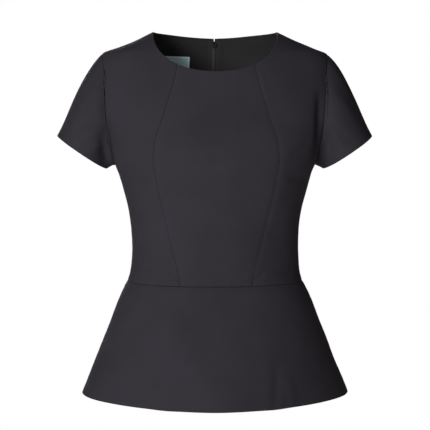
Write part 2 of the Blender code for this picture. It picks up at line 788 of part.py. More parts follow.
def build_slider(metal):
    """The slider: its body inside the cloth, a thin neck through the slit, crown and bridge outside."""
    body_top = -(CLOTH + LAYER_GAP + TAPE_CLOTH + LAYER_GAP)
    body_low = body_top - SLIDER_THICKNESS
    half = SLIDER_LENGTH / 2.0
    body = block((-SLIDER_WIDTH / 2.0, -half, body_low), (SLIDER_WIDTH / 2.0, half, body_top))
    upright = [edge for edge in body.edges if edge_run(edge).z > SLIDER_THICKNESS / 2.0]
    bmesh.ops.bevel(body, geom=upright, offset=SLIDER_ROUNDING, segments=3, affect="EDGES", profile=0.5)
    slider = add_object("zip_slider", body, metal)
    slider.matrix_world = zip_frame()

    crown_low = SEAM_GAP
    crown_top = crown_low + CROWN_THICKNESS
    neck = block(
        (-SLIDER_NECK_WIDTH / 2.0, -SLIDER_NECK_LENGTH / 2.0, body_top - METAL_OVERLAP),
        (SLIDER_NECK_WIDTH / 2.0, SLIDER_NECK_LENGTH / 2.0, crown_low + METAL_OVERLAP),
    )
    crown = block(
        (-CROWN_WIDTH / 2.0, -CROWN_LENGTH / 2.0, crown_low),
        (CROWN_WIDTH / 2.0, CROWN_LENGTH / 2.0, crown_top),
    )
    arch_top = crown_top + BRIDGE_CLEAR_HEIGHT + BRIDGE_METAL
    arch = block(
        (-BRIDGE_WIDTH / 2.0, -BRIDGE_LENGTH / 2.0, crown_top - METAL_OVERLAP),
        (BRIDGE_WIDTH / 2.0, BRIDGE_LENGTH / 2.0, arch_top),
    )
    top_ends = [
        edge
        for edge in arch.edges
        if min(vert.co.z for vert in edge.verts) > crown_top and edge_run(edge).x > BRIDGE_WIDTH / 2.0
    ]
    bmesh.ops.bevel(arch, geom=top_ends, offset=BRIDGE_METAL, segments=3, affect="EDGES", profile=0.5)
    clear = BRIDGE_LENGTH / 2.0 - BRIDGE_METAL
    window = block(
        (-BRIDGE_WIDTH, -clear, crown_top + BRIDGE_FOOT),
        (BRIDGE_WIDTH, clear, crown_top + BRIDGE_CLEAR_HEIGHT),
    )
    arch_guide = guide("bridge_guide", arch)
    combine(arch_guide, guide("bridge_window_guide", window), "DIFFERENCE")
    combine(slider, guide("neck_guide", neck), "UNION")
    combine(slider, guide("crown_guide", crown), "UNION")
    combine(slider, arch_guide, "UNION")
    return slider


def build_pull_tab(metal):
    """The pull tab: a flat drop with an eye round the bridge. Its origin is on the hinge axis."""
    half = TAB_THICKNESS / 2.0
    bar = TAB_BAR / 2.0
    top, end = TAB_TOP_WIDTH / 2.0, TAB_END_WIDTH / 2.0
    straight = TAB_EYE_LENGTH + TAB_BAR
    outline = [(-top, -bar), (top, -bar), (top, straight)]
    round_centre = TAB_LENGTH - end
    for angle in evenly(0.0, math.pi, TAB_END_CELLS):
        outline.append((end * math.cos(angle), round_centre + end * math.sin(angle)))
    outline.append((-top, straight))
    mesh_data = bmesh.new()
    low = [mesh_data.verts.new((across, down, -half)) for across, down in outline]
    high = [mesh_data.verts.new((across, down, half)) for across, down in outline]
    mesh_data.faces.new(low)
    mesh_data.faces.new(high)
    for step, vert in enumerate(low):
        beside = (step + 1) % len(low)
        mesh_data.faces.new((vert, low[beside], high[beside], high[step]))
    tab = add_object("zip_pull_tab", mesh_data, metal)
    eye = block(
        (-TAB_EYE_WIDTH / 2.0, bar, -TAB_THICKNESS),
        (TAB_EYE_WIDTH / 2.0, bar + TAB_EYE_LENGTH, TAB_THICKNESS),
    )
    combine(tab, guide("eye_guide", eye), "DIFFERENCE")
    axis_height = SEAM_GAP + CROWN_THICKNESS + BRIDGE_CLEAR_HEIGHT / 2.0
    lean = Matrix.Rotation(-TAB_LEAN, 4, "X")
    tab.matrix_world = zip_frame() @ Matrix.Translation((0.0, 0.0, axis_height)) @ lean
    return tab


def main():
    """Builds every piece of the top."""
    for leftover in list(bpy.data.objects):
        bpy.data.objects.remove(leftover, do_unlink=True)
    cloth = material("black_suiting", (0.022, 0.020, 0.024), 0.85)
    facing = material("black_facing", (0.016, 0.016, 0.016), 0.9)
    tape = material("black_zip_tape", (0.014, 0.014, 0.015), 0.75)
    label = material("teal_label", (0.20, 0.33, 0.35), 0.7)
    metal = material("black_painted_metal", (0.02, 0.02, 0.022), 0.4, 0.8)
    build_front(cloth)
    backs = build_back(cloth)
    build_sleeves(cloth)
    skirts = build_peplum(cloth)
    build_facings(facing, backs)
    build_zip_tapes(tape, backs, skirts)
    build_label(label, backs["right"])
    build_slider(metal)
    build_pull_tab(metal)


main()
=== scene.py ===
"""The looks of a fitted peplum top with short sleeves and a back zip, filled out as it is worn.

Metres, +Z up. The front faces -Y and the wearer's left is +X. Each cut piece of cloth is laid over the worn
form, creased, folded under at its seams and hems, and then given its thickness.
"""

import logging
import math
from dataclasses import dataclass
from enum import Enum
from typing import Callable, NamedTuple, Optional, Sequence

import bpy
import numpy as np
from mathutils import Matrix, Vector


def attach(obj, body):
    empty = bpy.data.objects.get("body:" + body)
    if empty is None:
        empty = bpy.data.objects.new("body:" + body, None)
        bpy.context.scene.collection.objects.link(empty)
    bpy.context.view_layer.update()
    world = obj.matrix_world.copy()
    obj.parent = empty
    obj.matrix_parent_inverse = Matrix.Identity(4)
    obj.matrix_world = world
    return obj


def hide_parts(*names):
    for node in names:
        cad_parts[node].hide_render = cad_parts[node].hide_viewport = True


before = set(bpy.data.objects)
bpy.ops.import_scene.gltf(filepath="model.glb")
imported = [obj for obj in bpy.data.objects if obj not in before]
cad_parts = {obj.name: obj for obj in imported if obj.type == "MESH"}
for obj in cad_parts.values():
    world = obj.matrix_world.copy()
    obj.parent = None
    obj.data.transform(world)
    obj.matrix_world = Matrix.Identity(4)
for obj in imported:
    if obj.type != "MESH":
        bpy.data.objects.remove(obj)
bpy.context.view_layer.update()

GARMENT = "garment"
QUARTER_TURN = math.pi / 2.0
LOG = logging.getLogger("peplum_top")
Array = np.ndarray
Colour = tuple[float, float, float]
Lift = Callable[[Array], Array]


def ease(share: Array) -> Array:
    """A share from 0 to 1 that starts and ends softly."""
    return share * share * (3.0 - 2.0 * share)


def unit(vectors: Array) -> Array:
    """The same directions with a length of one."""
    return vectors / np.linalg.norm(vectors, axis=-1, keepdims=True)


def new_object(name: str, data: bpy.types.ID) -> bpy.types.Object:
    """A new object in the scene, with its mesh, lamp or lens."""
    made = bpy.data.objects.new(name, data)
    bpy.context.scene.collection.objects.link(made)
    return made


class Side(Enum):
    """Which half of the top a piece is on, as the wearer has it."""

    LEFT = 1
    RIGHT = -1

    @property
    def word(self) -> str:
        """The side's name, as the nodes use it."""
        return self.name.lower()


class Fade(Enum):
    """Where along its length a crease runs out."""

    BOTH_ENDS = "both"
    START_ONLY = "start"


class Section(NamedTuple):
    """One level of the worn form: a rounded oval with its own front and back."""

    height: float
    half_width: float
    front_depth: float
    back_depth: float
    front_squareness: float
    back_squareness: float


class Fold(NamedTuple):
    """A soft flute of the peplum, deepest at the hem. The turn is measured from the centre front."""

    turn: float
    spread: float
    depth: float


BODICE_SECTIONS = (
    Section(0.000, 0.1000, 0.0500, 0.0500, 2.0, 2.0),
    Section(-0.0065, 0.1141, 0.0545, 0.0560, 2.0, 2.0),
    Section(-0.0130, 0.1277, 0.0580, 0.0610, 2.0, 2.0),
    Section(-0.0195, 0.1426, 0.0610, 0.0660, 2.0, 2.0),
    Section(-0.0260, 0.1587, 0.0640, 0.0705, 2.0, 2.0),
    Section(-0.0360, 0.1845, 0.0680, 0.0765, 2.05, 2.05),
    Section(-0.0550, 0.1945, 0.0755, 0.0865, 2.2, 2.2),
    Section(-0.0850, 0.1960, 0.0850, 0.0985, 2.5, 2.5),
    Section(-0.1250, 0.1910, 0.0980, 0.1080, 2.8, 2.75),
    Section(-0.1650, 0.1795, 0.1110, 0.1110, 2.9, 2.8),
    Section(-0.1950, 0.1690, 0.1190, 0.1095, 2.8, 2.7),
    Section(-0.2160, 0.1630, 0.1215, 0.1075, 2.7, 2.6),
    Section(-0.2340, 0.1562, 0.1205, 0.1045, 2.6, 2.5),
    Section(-0.2590, 0.1494, 0.1160, 0.1000, 2.5, 2.4),
    Section(-0.2920, 0.1418, 0.1085, 0.0930, 2.4, 2.3),
    Section(-0.3240, 0.1378, 0.1025, 0.0875, 2.3, 2.25),
    Section(-0.3500, 0.1368, 0.0985, 0.0845, 2.25, 2.2),
    Section(-0.3750, 0.1380, 0.0965, 0.0840, 2.2, 2.2),
    Section(-0.3920, 0.1400, 0.0960, 0.0850, 2.2, 2.2),
    Section(-0.4070, 0.1443, 0.0970, 0.0875, 2.2, 2.2),
)

PEPLUM_SECTIONS = (
    Section(-0.407, 0.1446, 0.0972, 0.0877, 2.20, 2.20),
    Section(-0.424, 0.1527, 0.1025, 0.0945, 2.15, 2.15),
    Section(-0.445, 0.1621, 0.1095, 0.1030, 2.05, 2.10),
    Section(-0.485, 0.1778, 0.1225, 0.1190, 1.95, 2.00),
    Section(-0.525, 0.1933, 0.1360, 0.1335, 1.88, 1.95),
    Section(-0.565, 0.2098, 0.1500, 0.1480, 1.80, 1.90),
    Section(-0.593, 0.2214, 0.1600, 0.1580, 1.75, 1.85),
)

PEPLUM_FOLDS = (
    Fold(math.radians(-29), math.radians(7), 0.0022),
    Fold(math.radians(33), math.radians(8), 0.0026),
    Fold(math.radians(-74), math.radians(9), 0.0016),
    Fold(math.radians(79), math.radians(8), 0.0014),
    Fold(math.radians(140), math.radians(10), 0.0030),
    Fold(math.radians(-146), math.radians(9), 0.0026),
)

# The princess seam's distance from the centre front at each height, from the neckline to the waist
PRINCESS_SEAM = (
    (-0.0600, 0.0620),
    (-0.0780, 0.0655),
    (-0.1200, 0.0782),
    (-0.1450, 0.0852),
    (-0.1580, 0.0905),
    (-0.1810, 0.0972),
    (-0.2050, 0.0990),
    (-0.2330, 0.0952),
    (-0.2720, 0.0882),
    (-0.3130, 0.0784),
    (-0.3530, 0.0692),
    (-0.3850, 0.0608),
    (-0.4070, 0.0580),
)

# How far out the armhole's edge runs at each height, from the shoulder tip to the underarm
ARMHOLE_EDGE = (
    (-0.0360, 0.1845),
    (-0.0550, 0.1808),
    (-0.0850, 0.1775),
    (-0.1250, 0.1755),
    (-0.1650, 0.1722),
    (-0.1950, 0.1668),
    (-0.2160, 0.1630),
)


class Smooth:
    """A curve through a table's points that never overshoots them."""

    def __init__(self, places: Sequence[float], values: Sequence[float]) -> None:
        """Fits the curve.

        Args:
            places: where the values are given.
            values: one value for each place.
        """
        order = np.argsort(places)
        self.places = np.array(places, dtype=float)[order]
        self.values = np.array(values, dtype=float)[order]
        widths = np.diff(self.places)
        slopes = np.diff(self.values) / widths
        heavy = 2.0 * widths[1:] + widths[:-1]
        light = widths[1:] + 2.0 * widths[:-1]
        with np.errstate(divide="ignore", invalid="ignore"):
            inner = (heavy + light) / (heavy / slopes[:-1] + light / slopes[1:])
        inner = np.where(slopes[:-1] * slopes[1:] > 0.0, inner, 0.0)
        self.slopes = np.concatenate(([slopes[0]], inner, [slopes[-1]]))

    def __call__(self, place: Array) -> Array:
        """The curve's value at each place.

        Args:
            place: one place or an array of them.

        Returns:
            The values, carried on straight beyond the table's ends.
        """
        place = np.asarray(place, dtype=float)
        inside = np.clip(place, self.places[0], self.places[-1])
        cell = np.clip(np.searchsorted(self.places, inside) - 1, 0, len(self.places) - 2)
        width = self.places[cell + 1] - self.places[cell]
        share = (inside - self.places[cell]) / width
        rise = ease(share)
        leave = share * (1.0 - share) ** 2
        arrive = share * share * (share - 1.0)
        value = self.values[cell] + rise * (self.values[cell + 1] - self.values[cell])
        value = value + width * (leave * self.slopes[cell] + arrive * self.slopes[cell + 1])
        beyond = place - inside
        return value + beyond * np.where(beyond > 0.0, self.slopes[-1], self.slopes[0])


class Form:
    """A stack of sections. A place on it is a turn from the centre front, towards +X, and a height."""

    fold_fall: float = 1.6

    def __init__(self, sections: Sequence[Section], folds: Sequence[Fold] = ()) -> None:
        """Fits curves through the sections.

        Args:
            sections: the form's levels, from the top down.
            folds: soft flutes that deepen towards the lowest level.
        """
        columns = [np.array(column) for column in zip(*sections)]
        heights = columns[0]
        self.half_width, self.front_depth, self.back_depth = (Smooth(heights, c) for c in columns[1:4])
        self.front_squareness, self.back_squareness = (Smooth(heights, c) for c in columns[4:6])
        self.top = float(heights.max())
        self.bottom = float(heights.min())
        self.folds = folds

    def oval(self, height: Array, behind: Array) -> tuple[Array, Array, Array]:
        """The half width, depth and squareness of the form at each height.

        Args:
            height: the heights.
            behind: true where the back's depth is wanted.

        Returns:
            The three measures.
        """
        depth = np.where(behind, self.back_depth(height), self.front_depth(height))
        squareness = np.where(behind, self.back_squareness(height), self.front_squareness(height))
        return self.half_width(height), depth, squareness

    def lift(self, places: Array) -> Array:
        """Points on the form.

        Args:
            places: turns and heights, in the last axis.

        Returns:
            Points in metres, in the last axis.
        """
        turn, height = places[..., 0], places[..., 1]
        sine, cosine = np.sin(turn), np.cos(turn)
        width, depth, squareness = self.oval(height, cosine < 0.0)
        across, along = np.abs(sine) / width, np.abs(cosine) / depth
        reach = (across**squareness + along**squareness) ** (-1.0 / squareness)
        fall = np.clip((self.top - height) / (self.top - self.bottom), 0.0, None) ** self.fold_fall
        for fold in self.folds:
            off = (np.mod(turn - fold.turn + math.pi, 2.0 * math.pi) - math.pi) / fold.spread
            reach = reach + fold.depth * fall * np.exp(-off * off)
        return np.stack([reach * sine, -reach * cosine, height + 0.0 * reach], axis=-1)

    def turn_at(self, across: Array, height: Array, behind: bool = False) -> Array:
        """The turn whose point lies this far from the middle plane.

        Args:
            across: distances from the middle plane.
            height: their heights.
            behind: true for the back of the form.

        Returns:
            The turns.
        """
        width, depth, squareness = self.oval(height, np.full(np.shape(height), behind))
        share = np.clip(np.abs(across) / width, 0.0, 1.0)
        along = depth * (1.0 - share**squareness) ** (1.0 / squareness)
        return np.copysign(np.arctan2(np.abs(across), -along if behind else along), across)

    def facing(self, behind: bool) -> Lift:
        """Turns distances from the middle plane and heights into points.

        Args:
            behind: true for the back of the form.

        Returns:
            A function of an array whose last axis has the distance and the height.
        """

        def place(seen: Array) -> Array:
            turn = self.turn_at(seen[..., 0], seen[..., 1], behind)
            return self.lift(np.stack([turn, seen[..., 1]], axis=-1))

        return place


BODICE = Form(BODICE_SECTIONS)
PEPLUM = Form(PEPLUM_SECTIONS, PEPLUM_FOLDS)
PRINCESS = Smooth(*zip(*PRINCESS_SEAM))
ARMHOLE = Smooth(*zip(*ARMHOLE_EDGE))


def coons(top: Array, bottom: Array, left: Array, right: Array) -> Array:
    """Fills four edges of places with a grid of places.

    Args:
        top: the first row.
        bottom: the last row.
        left: the first column.
        right: the last column.

    Returns:
        The grid, rows first.
    """
    share = np.linspace(0.0, 1.0, len(top))[None, :, None]
    fall = np.linspace(0.0, 1.0, len(left))[:, None, None]
    ruled = (1.0 - fall) * top[None] + fall * bottom[None]
    crossed = (1.0 - share) * left[:, None] + share * right[:, None]
    corners = (1.0 - fall) * ((1.0 - share) * top[0] + share * top[-1])
    corners = corners + fall * ((1.0 - share) * bottom[0] + share * bottom[-1])
    return ruled + crossed - corners


def row_lengths(points: Array) -> Array:
    """How far along its row each point of a grid lies."""
    steps = np.linalg.norm(np.diff(points, axis=1), axis=-1)
    return np.concatenate([np.zeros((len(points), 1)), np.cumsum(steps, axis=1)], axis=1)


def column_lengths(points: Array) -> Array:
    """How far down its column each point of a grid lies."""
    return row_lengths(points.swapaxes(0, 1)).swapaxes(0, 1)


def middle_of(points: Array) -> Array:
    """The point of the garment's upright middle line that is level with a grid."""
    return np.array((0.0, 0.0, float(points[..., 2].mean())))


@dataclass(frozen=True)
class Pattern:
    """The lines where the cloth is cut and sewn, as turns and heights on the worn form."""

    neck_half_width: float = 0.1005
    neck_front_drop: float = 0.0672
    neck_squareness: float = 2.2
    neck_back_drop: float = 0.006
    shoulder_tip: float = -0.036
    underarm: float = -0.216
    waist: float = -0.407
    hem: float = -0.593
    notch_half_width: float = 0.0009
    notch_depth: float = 0.017
    half_gap: float = 0.00001
    armhole_cells: int = 120
    side_seam_cells: int = 100
    shoulder_cells: int = 50
    side_neck_cells: int = 60
    back_neck_cells: int = 70
    centre_cells: int = 120
    peplum_rows: int = 90
    peplum_cells: int = 160

    def on_bodice(self, across: Array, height: Array, behind: bool = False) -> Array:
        """Places on the bodice, this far from the middle plane and at these heights."""
        return np.stack([BODICE.turn_at(across, height, behind), height], axis=-1)

    def at_side(self, height: Array) -> Array:
        """Places on the line that runs down the side of the form."""
        return np.stack([np.full(len(height), QUARTER_TURN), height], axis=-1)

    def front_neck(self, across: Array) -> Array:
        """Places on the front neckline.

        Args:
            across: how far from the middle plane they are.

        Returns:
            Turns and heights.
        """
        share = np.clip(np.abs(across) / self.neck_half_width, 0.0, 1.0)
        height = -self.neck_front_drop * (1.0 - share**self.neck_squareness) ** (1.0 / self.neck_squareness)
        return self.on_bodice(across, height)

    @property
    def princess_reach(self) -> float:
        """How far from the middle plane the princess seam starts."""
        return float(PRINCESS(PRINCESS_SEAM[0][0]))

    def centre_neck(self) -> Array:
        """The front neckline between the two princess seams."""
        reach = self.princess_reach
        return self.front_neck(np.linspace(-reach, reach, self.centre_cells + 1))

    def side_neck(self) -> Array:
        """The front neckline from the princess seam up to the high shoulder point."""
        bend = 2.0 / self.neck_squareness
        start = math.asin((self.princess_reach / self.neck_half_width) ** (1.0 / bend))
        left = np.linspace(1.0, 0.0, self.side_neck_cells + 1)
        angle = QUARTER_TURN - (QUARTER_TURN - start) * left * left
        places = self.front_neck(self.neck_half_width * np.sin(angle) ** bend)
        places[-1] = (QUARTER_TURN, 0.0)
        return places

    def back_neck(self) -> Array:
        """The back neckline from beside the zip to the high shoulder point."""
        edge = BODICE.turn_at(np.array([self.notch_half_width]), np.array([-self.neck_back_drop]), True)
        turn = np.linspace(edge[0], QUARTER_TURN, self.back_neck_cells + 1)
        return np.stack([turn, -self.neck_back_drop * np.abs(np.cos(turn)) ** 1.5], axis=-1)

    def shoulder(self) -> Array:
        """The shoulder seam from the high shoulder point to the tip."""
        return self.at_side(np.linspace(0.0, self.shoulder_tip, self.shoulder_cells + 1))

    def armhole_at(self, share: Array, behind: bool) -> Array:
        """The armhole's line.

        Args:
            share: shares of the way from the shoulder tip to the underarm.
            behind: true for the back's half of the armhole.

        Returns:
            Turns and heights.
        """
        middle, half = (self.shoulder_tip + self.underarm) / 2.0, (self.shoulder_tip - self.underarm) / 2.0
        height = middle + half * np.cos(share * math.pi)
        places = self.on_bodice(ARMHOLE(height), height, behind)
        ends = (share <= 0.0) | (share >= 1.0)
        places[ends, 0] = QUARTER_TURN
        return places

    def outer_edge(self, behind: bool) -> Array:
        """The armhole and then the side seam down to the waist, of the front or of the back."""
        hole = self.armhole_at(np.linspace(0.0, 1.0, self.armhole_cells + 1), behind)
        seam = self.at_side(np.linspace(self.underarm, self.waist, self.side_seam_cells + 1))
        return np.concatenate([hole, seam[1:]])

    def princess(self) -> Array:
        """The princess seam of the wearer's left, from the neckline to the waist."""
        top = self.front_neck(np.array([self.princess_reach]))
        height = np.linspace(top[0, 1], self.waist, self.armhole_cells + self.side_seam_cells + 1)
        places = self.on_bodice(PRINCESS(height), height)
        places[0] = top[0]
        return places

    def opening(self, height: Array) -> Array:
        """Half the width between the two edges of the back opening."""
        share = np.clip((-self.neck_back_drop - height) / self.notch_depth, 0.0, 1.0)
        return self.notch_half_width + (self.half_gap - self.notch_half_width) * share

    def centre_back(self) -> Array:
        """The back opening's edge, from the neck to the waist."""
        cells = self.armhole_cells + self.side_seam_cells
        height = np.linspace(-self.neck_back_drop, self.waist, cells + 1)
        return self.on_bodice(self.opening(height), height, True)

    def waist_between(self, start: float, end: float, cells: int) -> Array:
        """The waist seam between two turns."""
        turn = np.linspace(start, end, cells + 1)
        return np.stack([turn, np.full(cells + 1, self.waist)], axis=-1)

    def front_centre_places(self) -> Array:
        """The centre front panel's grid of places."""
        seam = self.princess()
        mirrored = seam * (-1.0, 1.0)
        waist = self.waist_between(mirrored[-1, 0], seam[-1, 0], self.centre_cells)
        return coons(self.centre_neck(), waist, mirrored, seam)

    def front_side_places(self) -> Array:
        """The left side front panel's grid of places."""
        top = np.concatenate([self.side_neck(), self.shoulder()[1:]])
        seam = self.princess()
        waist = self.waist_between(seam[-1, 0], QUARTER_TURN, len(top) - 1)
        return coons(top, waist, seam, self.outer_edge(False))

    def back_places(self) -> Array:
        """The left back panel's grid of places."""
        top = np.concatenate([self.back_neck(), self.shoulder()[1:]])
        centre = self.centre_back()
        centre[0] = top[0]
        waist = self.waist_between(centre[-1, 0], QUARTER_TURN, len(top) - 1)
        return coons(top, waist, centre, self.outer_edge(True))

    def peplum_places(self, start: float, end: float) -> Array:
        """A grid of places on the peplum between two turns."""
        turns = np.linspace(start, end, self.peplum_cells + 1)
        heights = np.linspace(self.waist, self.hem, self.peplum_rows + 1)
        return np.stack(np.meshgrid(turns, heights), axis=-1)


PATTERN = Pattern()


@dataclass(frozen=True)
class Crease:
    """A soft trough from a start over a middle to an end. It is a ridge where its depth is below zero."""

    start: tuple[float, float]
    middle: tuple[float, float]
    end: tuple[float, float]
    depth: float
    spread: float
    fade: Fade = Fade.BOTH_ENDS
    steps: int = 16
    spreads_felt: float = 3.0

    def path(self, lift: Lift) -> Array:
        """The crease's line as points.

        Args:
            lift: turns places into points.

        Returns:
            Points along the line.
        """
        start, middle, end = (np.array(place) for place in (self.start, self.middle, self.end))
        pull = 2.0 * middle - (start + end) / 2.0
        share = np.linspace(0.0, 1.0, self.steps + 1)[:, None]
        return lift((1.0 - share) ** 2 * start + 2.0 * share * (1.0 - share) * pull + share**2 * end)

    def offset(self, points: Array, lift: Lift) -> Array:
        """How far the crease moves each point out of the cloth.

        Args:
            points: points on the cloth, in the last axis.
            lift: turns places into points.

        Returns:
            Distances in metres, below zero in a trough.
        """
        path = self.path(lift)
        reach = self.spreads_felt * self.spread
        near = np.all((points > path.min(0) - reach) & (points < path.max(0) + reach), axis=-1)
        moved = np.zeros(points.shape[:-1])
        found = points[near]
        if len(found) == 0:
            return moved
        run = np.diff(path, axis=0)
        toward = found[:, None] - path[None, :-1]
        along = np.clip((toward * run).sum(-1) / (run * run).sum(-1), 0.0, 1.0)
        gaps = np.linalg.norm(toward - along[..., None] * run, axis=-1)
        best = gaps.argmin(axis=1)
        index = np.arange(len(found))
        share = (best + along[index, best]) / len(run)
        reached = math.pi if self.fade is Fade.BOTH_ENDS else QUARTER_TURN
        strength = np.clip(np.sin(reached * share), 0.0, 1.0)
        moved[near] = -self.depth * strength * np.exp(-((gaps[index, best] / self.spread) ** 2))
        return moved


class Wave(NamedTuple):
    """One part of the cloth's slight unevenness."""

    run: tuple[float, float, float]
    start: float
    height: float


UNEVEN = (
    Wave((61.0, 22.0, 35.0), 0.4, 0.00022),
    Wave((-38.0, 51.0, 74.0), 2.1, 0.00018),
    Wave((97.0, -43.0, -58.0), 4.4, 0.00012),
    Wave((-120.0, -77.0, 31.0), 1.3, 0.00008),
)


def unevenness(points: Array) -> Array:
    """The slight unevenness that worn cloth has everywhere."""
    return sum(wave.height * np.sin(points @ np.array(wave.run) + wave.start) for wave in UNEVEN)


@dataclass(frozen=True)
class Make:
    """How the cloth is made up: its thickness, its folded edges and the fineness of its mesh."""

    thickness: float = 0.0010
    fold_radius: float = 0.0006
    step: float = 0.0026
    near_edge: tuple[float, ...] = (0.0, 0.0004, 0.0010, 0.0019, 0.0032)
    fold_angles: tuple[float, ...] = (0.35, 0.80, 1.25, 1.70, 2.20, 2.70, math.pi)
    open_angle: float = 0.62
    corner_steps: int = 4
    dip: float = 0.0005
    dip_spread: float = 0.0035
    pucker: float = 0.00022
    pucker_reach: float = 0.007
    pucker_length: float = 0.017
    pucker_turns: float = 37.0
    pucker_start: float = 0.002
    corner_clear: float = 0.001
    press: float = 0.00006
    weld: float = 1e-6
    sharp_angle: float = math.radians(55)

    @property
    def inset(self) -> float:
        """How far short of a seam line the flat cloth stops, so that the two folds press together."""
        return self.fold_radius + self.thickness / 2.0 - self.press

    def respace(self, places: Array, lift: Lift, axis: int) -> Array:
        """Puts a grid's lines at even distances, closer together beside its edges.

        Args:
            places: the grid.
            lift: turns places into points.
            axis: 1 to move along the rows, 0 along the columns.

        Returns:
            The new grid.
        """
        if axis == 0:
            places = places.swapaxes(0, 1)
        lengths = row_lengths(lift(places))
        near = self.inset + np.array(self.near_edge)
        cells = max(int(round((lengths[:, -1].mean() - 2.0 * near[-1]) / self.step)), 2)
        inner = np.linspace(0.0, 1.0, cells + 1)[1:-1]
        made = []
        for line, length in zip(places, lengths):
            whole = length[-1]
            between = near[-1] + (whole - 2.0 * near[-1]) * inner
            wanted = np.concatenate([near, between, whole - near[::-1]])
            made.append(np.stack([np.interp(wanted, length, line[:, part]) for part in (0, 1)], axis=-1))
        grid = np.array(made)
        return grid.swapaxes(0, 1) if axis == 0 else grid


MAKE = Make()


def grid_normals(points: Array, centre: Array, closed: bool = False) -> Array:
    """The normals of a grid of points, pointing away from its centre.

    Args:
        points: the grid.
        centre: a point for each row, or one for all.
        closed: true where the last column is the first one again.

    Returns:
        Unit normals.
    """
    around = np.concatenate([points[:, -2:-1], points, points[:, 1:2]], axis=1) if closed else points
    across = np.gradient(around, axis=1)
    if closed:
        across = across[:, 1:-1]
    normals = unit(np.cross(np.gradient(points, axis=0), across))
    return normals * math.copysign(1.0, float((normals * (points - centre)).sum()))


class Edge(NamedTuple):
    """How far the cloth is turned under along one edge, and whether the edge is sewn to another piece."""

    under: float
    sewn: bool = True


@dataclass(frozen=True)
class Edges:
    """The four edges of a cut piece."""

    top: Edge
    bottom: Edge
    left: Edge
    right: Edge


class Surface:
    """An open surface of quads that grows grid by grid. Points that meet become one point."""

    def __init__(self) -> None:
        """Starts with nothing."""
        self.points: list[Array] = []
        self.normals: list[Array] = []
        self.flats: list[Array] = []
        self.quads: list[Array] = []
        self.count = 0

    def add(self, points: Array, normals: Array, flats: Array, keep: Optional[Array] = None) -> None:
        """Adds a grid.

        Args:
            points: its points.
            normals: the direction of the cloth's right side at each.
            flats: where each point lies in the flat cloth, in metres.
            keep: which cells are wanted, or all.
        """
        rows, columns = points.shape[:2]
        index = self.count + np.arange(rows * columns).reshape(rows, columns)
        quads = np.stack([index[:-1, :-1], index[:-1, 1:], index[1:, 1:], index[1:, :-1]], axis=-1)
        quads = quads.reshape(-1, 4) if keep is None else quads[keep]
        self.points.append(points.reshape(-1, 3))
        self.normals.append(normals.reshape(-1, 3))
        self.flats.append(flats.reshape(-1, 2))
        self.quads.append(quads)
        self.count += rows * columns

    def welded(self) -> tuple[Array, Array, Array, Array]:
        """The whole surface with one point where several met.

        Returns:
            Points, normals, flat places and quads, which all turn the same way about the normals.
        """
        points, normals = np.concatenate(self.points), np.concatenate(self.normals)
        flats, quads = np.concatenate(self.flats), np.concatenate(self.quads)
        keys = np.round(points / MAKE.weld).astype(np.int64)
        _, first, merged = np.unique(keys, axis=0, return_index=True, return_inverse=True)
        merged = merged.reshape(-1)
        summed = np.zeros((len(first), 3))
        np.add.at(summed, merged, normals)
        summed /= np.maximum(np.linalg.norm(summed, axis=-1, keepdims=True), 1e-9)
        points, flats, quads = points[first], flats[first], merged[quads]
        corners = points[quads]
        cross = np.cross(corners[:, 2] - corners[:, 0], corners[:, 3] - corners[:, 1])
        away = (cross * summed[quads].sum(axis=1)).sum(axis=-1) < 0.0
        quads[away] = quads[away][:, ::-1]
        used = np.unique(quads)
        renumber = np.full(len(points), -1)
        renumber[used] = np.arange(len(used))
        return points[used], summed[used], flats[used], renumber[quads]

    def solid(self, name: str, thickness: float) -> bpy.types.Object:
        """Gives the surface its thickness, half of it to each side.

        Args:
            name: the piece's name.
            thickness: the cloth's thickness.

        Returns:
            A closed piece, shaded smooth except at its cut edges.
        """
        points, normals, flats, quads = self.welded()
        count = len(points)
        faces = [list(dict.fromkeys(face)) for face in quads.tolist()]
        faces = [face for face in faces if len(face) > 2]
        uses: dict[tuple[int, int], int] = {}
        for face in faces:
            for corner, following in zip(face, face[1:] + face[:1]):
                key = (min(corner, following), max(corner, following))
                uses[key] = uses.get(key, 0) + 1
        rims = []
        for face in faces:
            for corner, following in zip(face, face[1:] + face[:1]):
                if uses[(min(corner, following), max(corner, following))] == 1:
                    rims.append([following, corner, corner + count, following + count])
        inner = [[corner + count for corner in reversed(face)] for face in faces]
        half = normals * thickness / 2.0
        vertices = np.concatenate([points + half, points - half])
        mesh = bpy.data.meshes.new(name)
        mesh.from_pydata(vertices.tolist(), [], faces + inner + rims)
        mesh.update()
        loops = np.zeros(len(mesh.loops), np.int32)
        mesh.loops.foreach_get("vertex_index", loops)
        layer = mesh.uv_layers.new(name="cloth")
        layer.data.foreach_set("uv", np.concatenate([flats, flats])[loops].astype(np.float32).ravel())
        mesh.shade_smooth()
        mesh.set_sharp_from_angle(angle=MAKE.sharp_angle)
        return new_object(name, mesh)


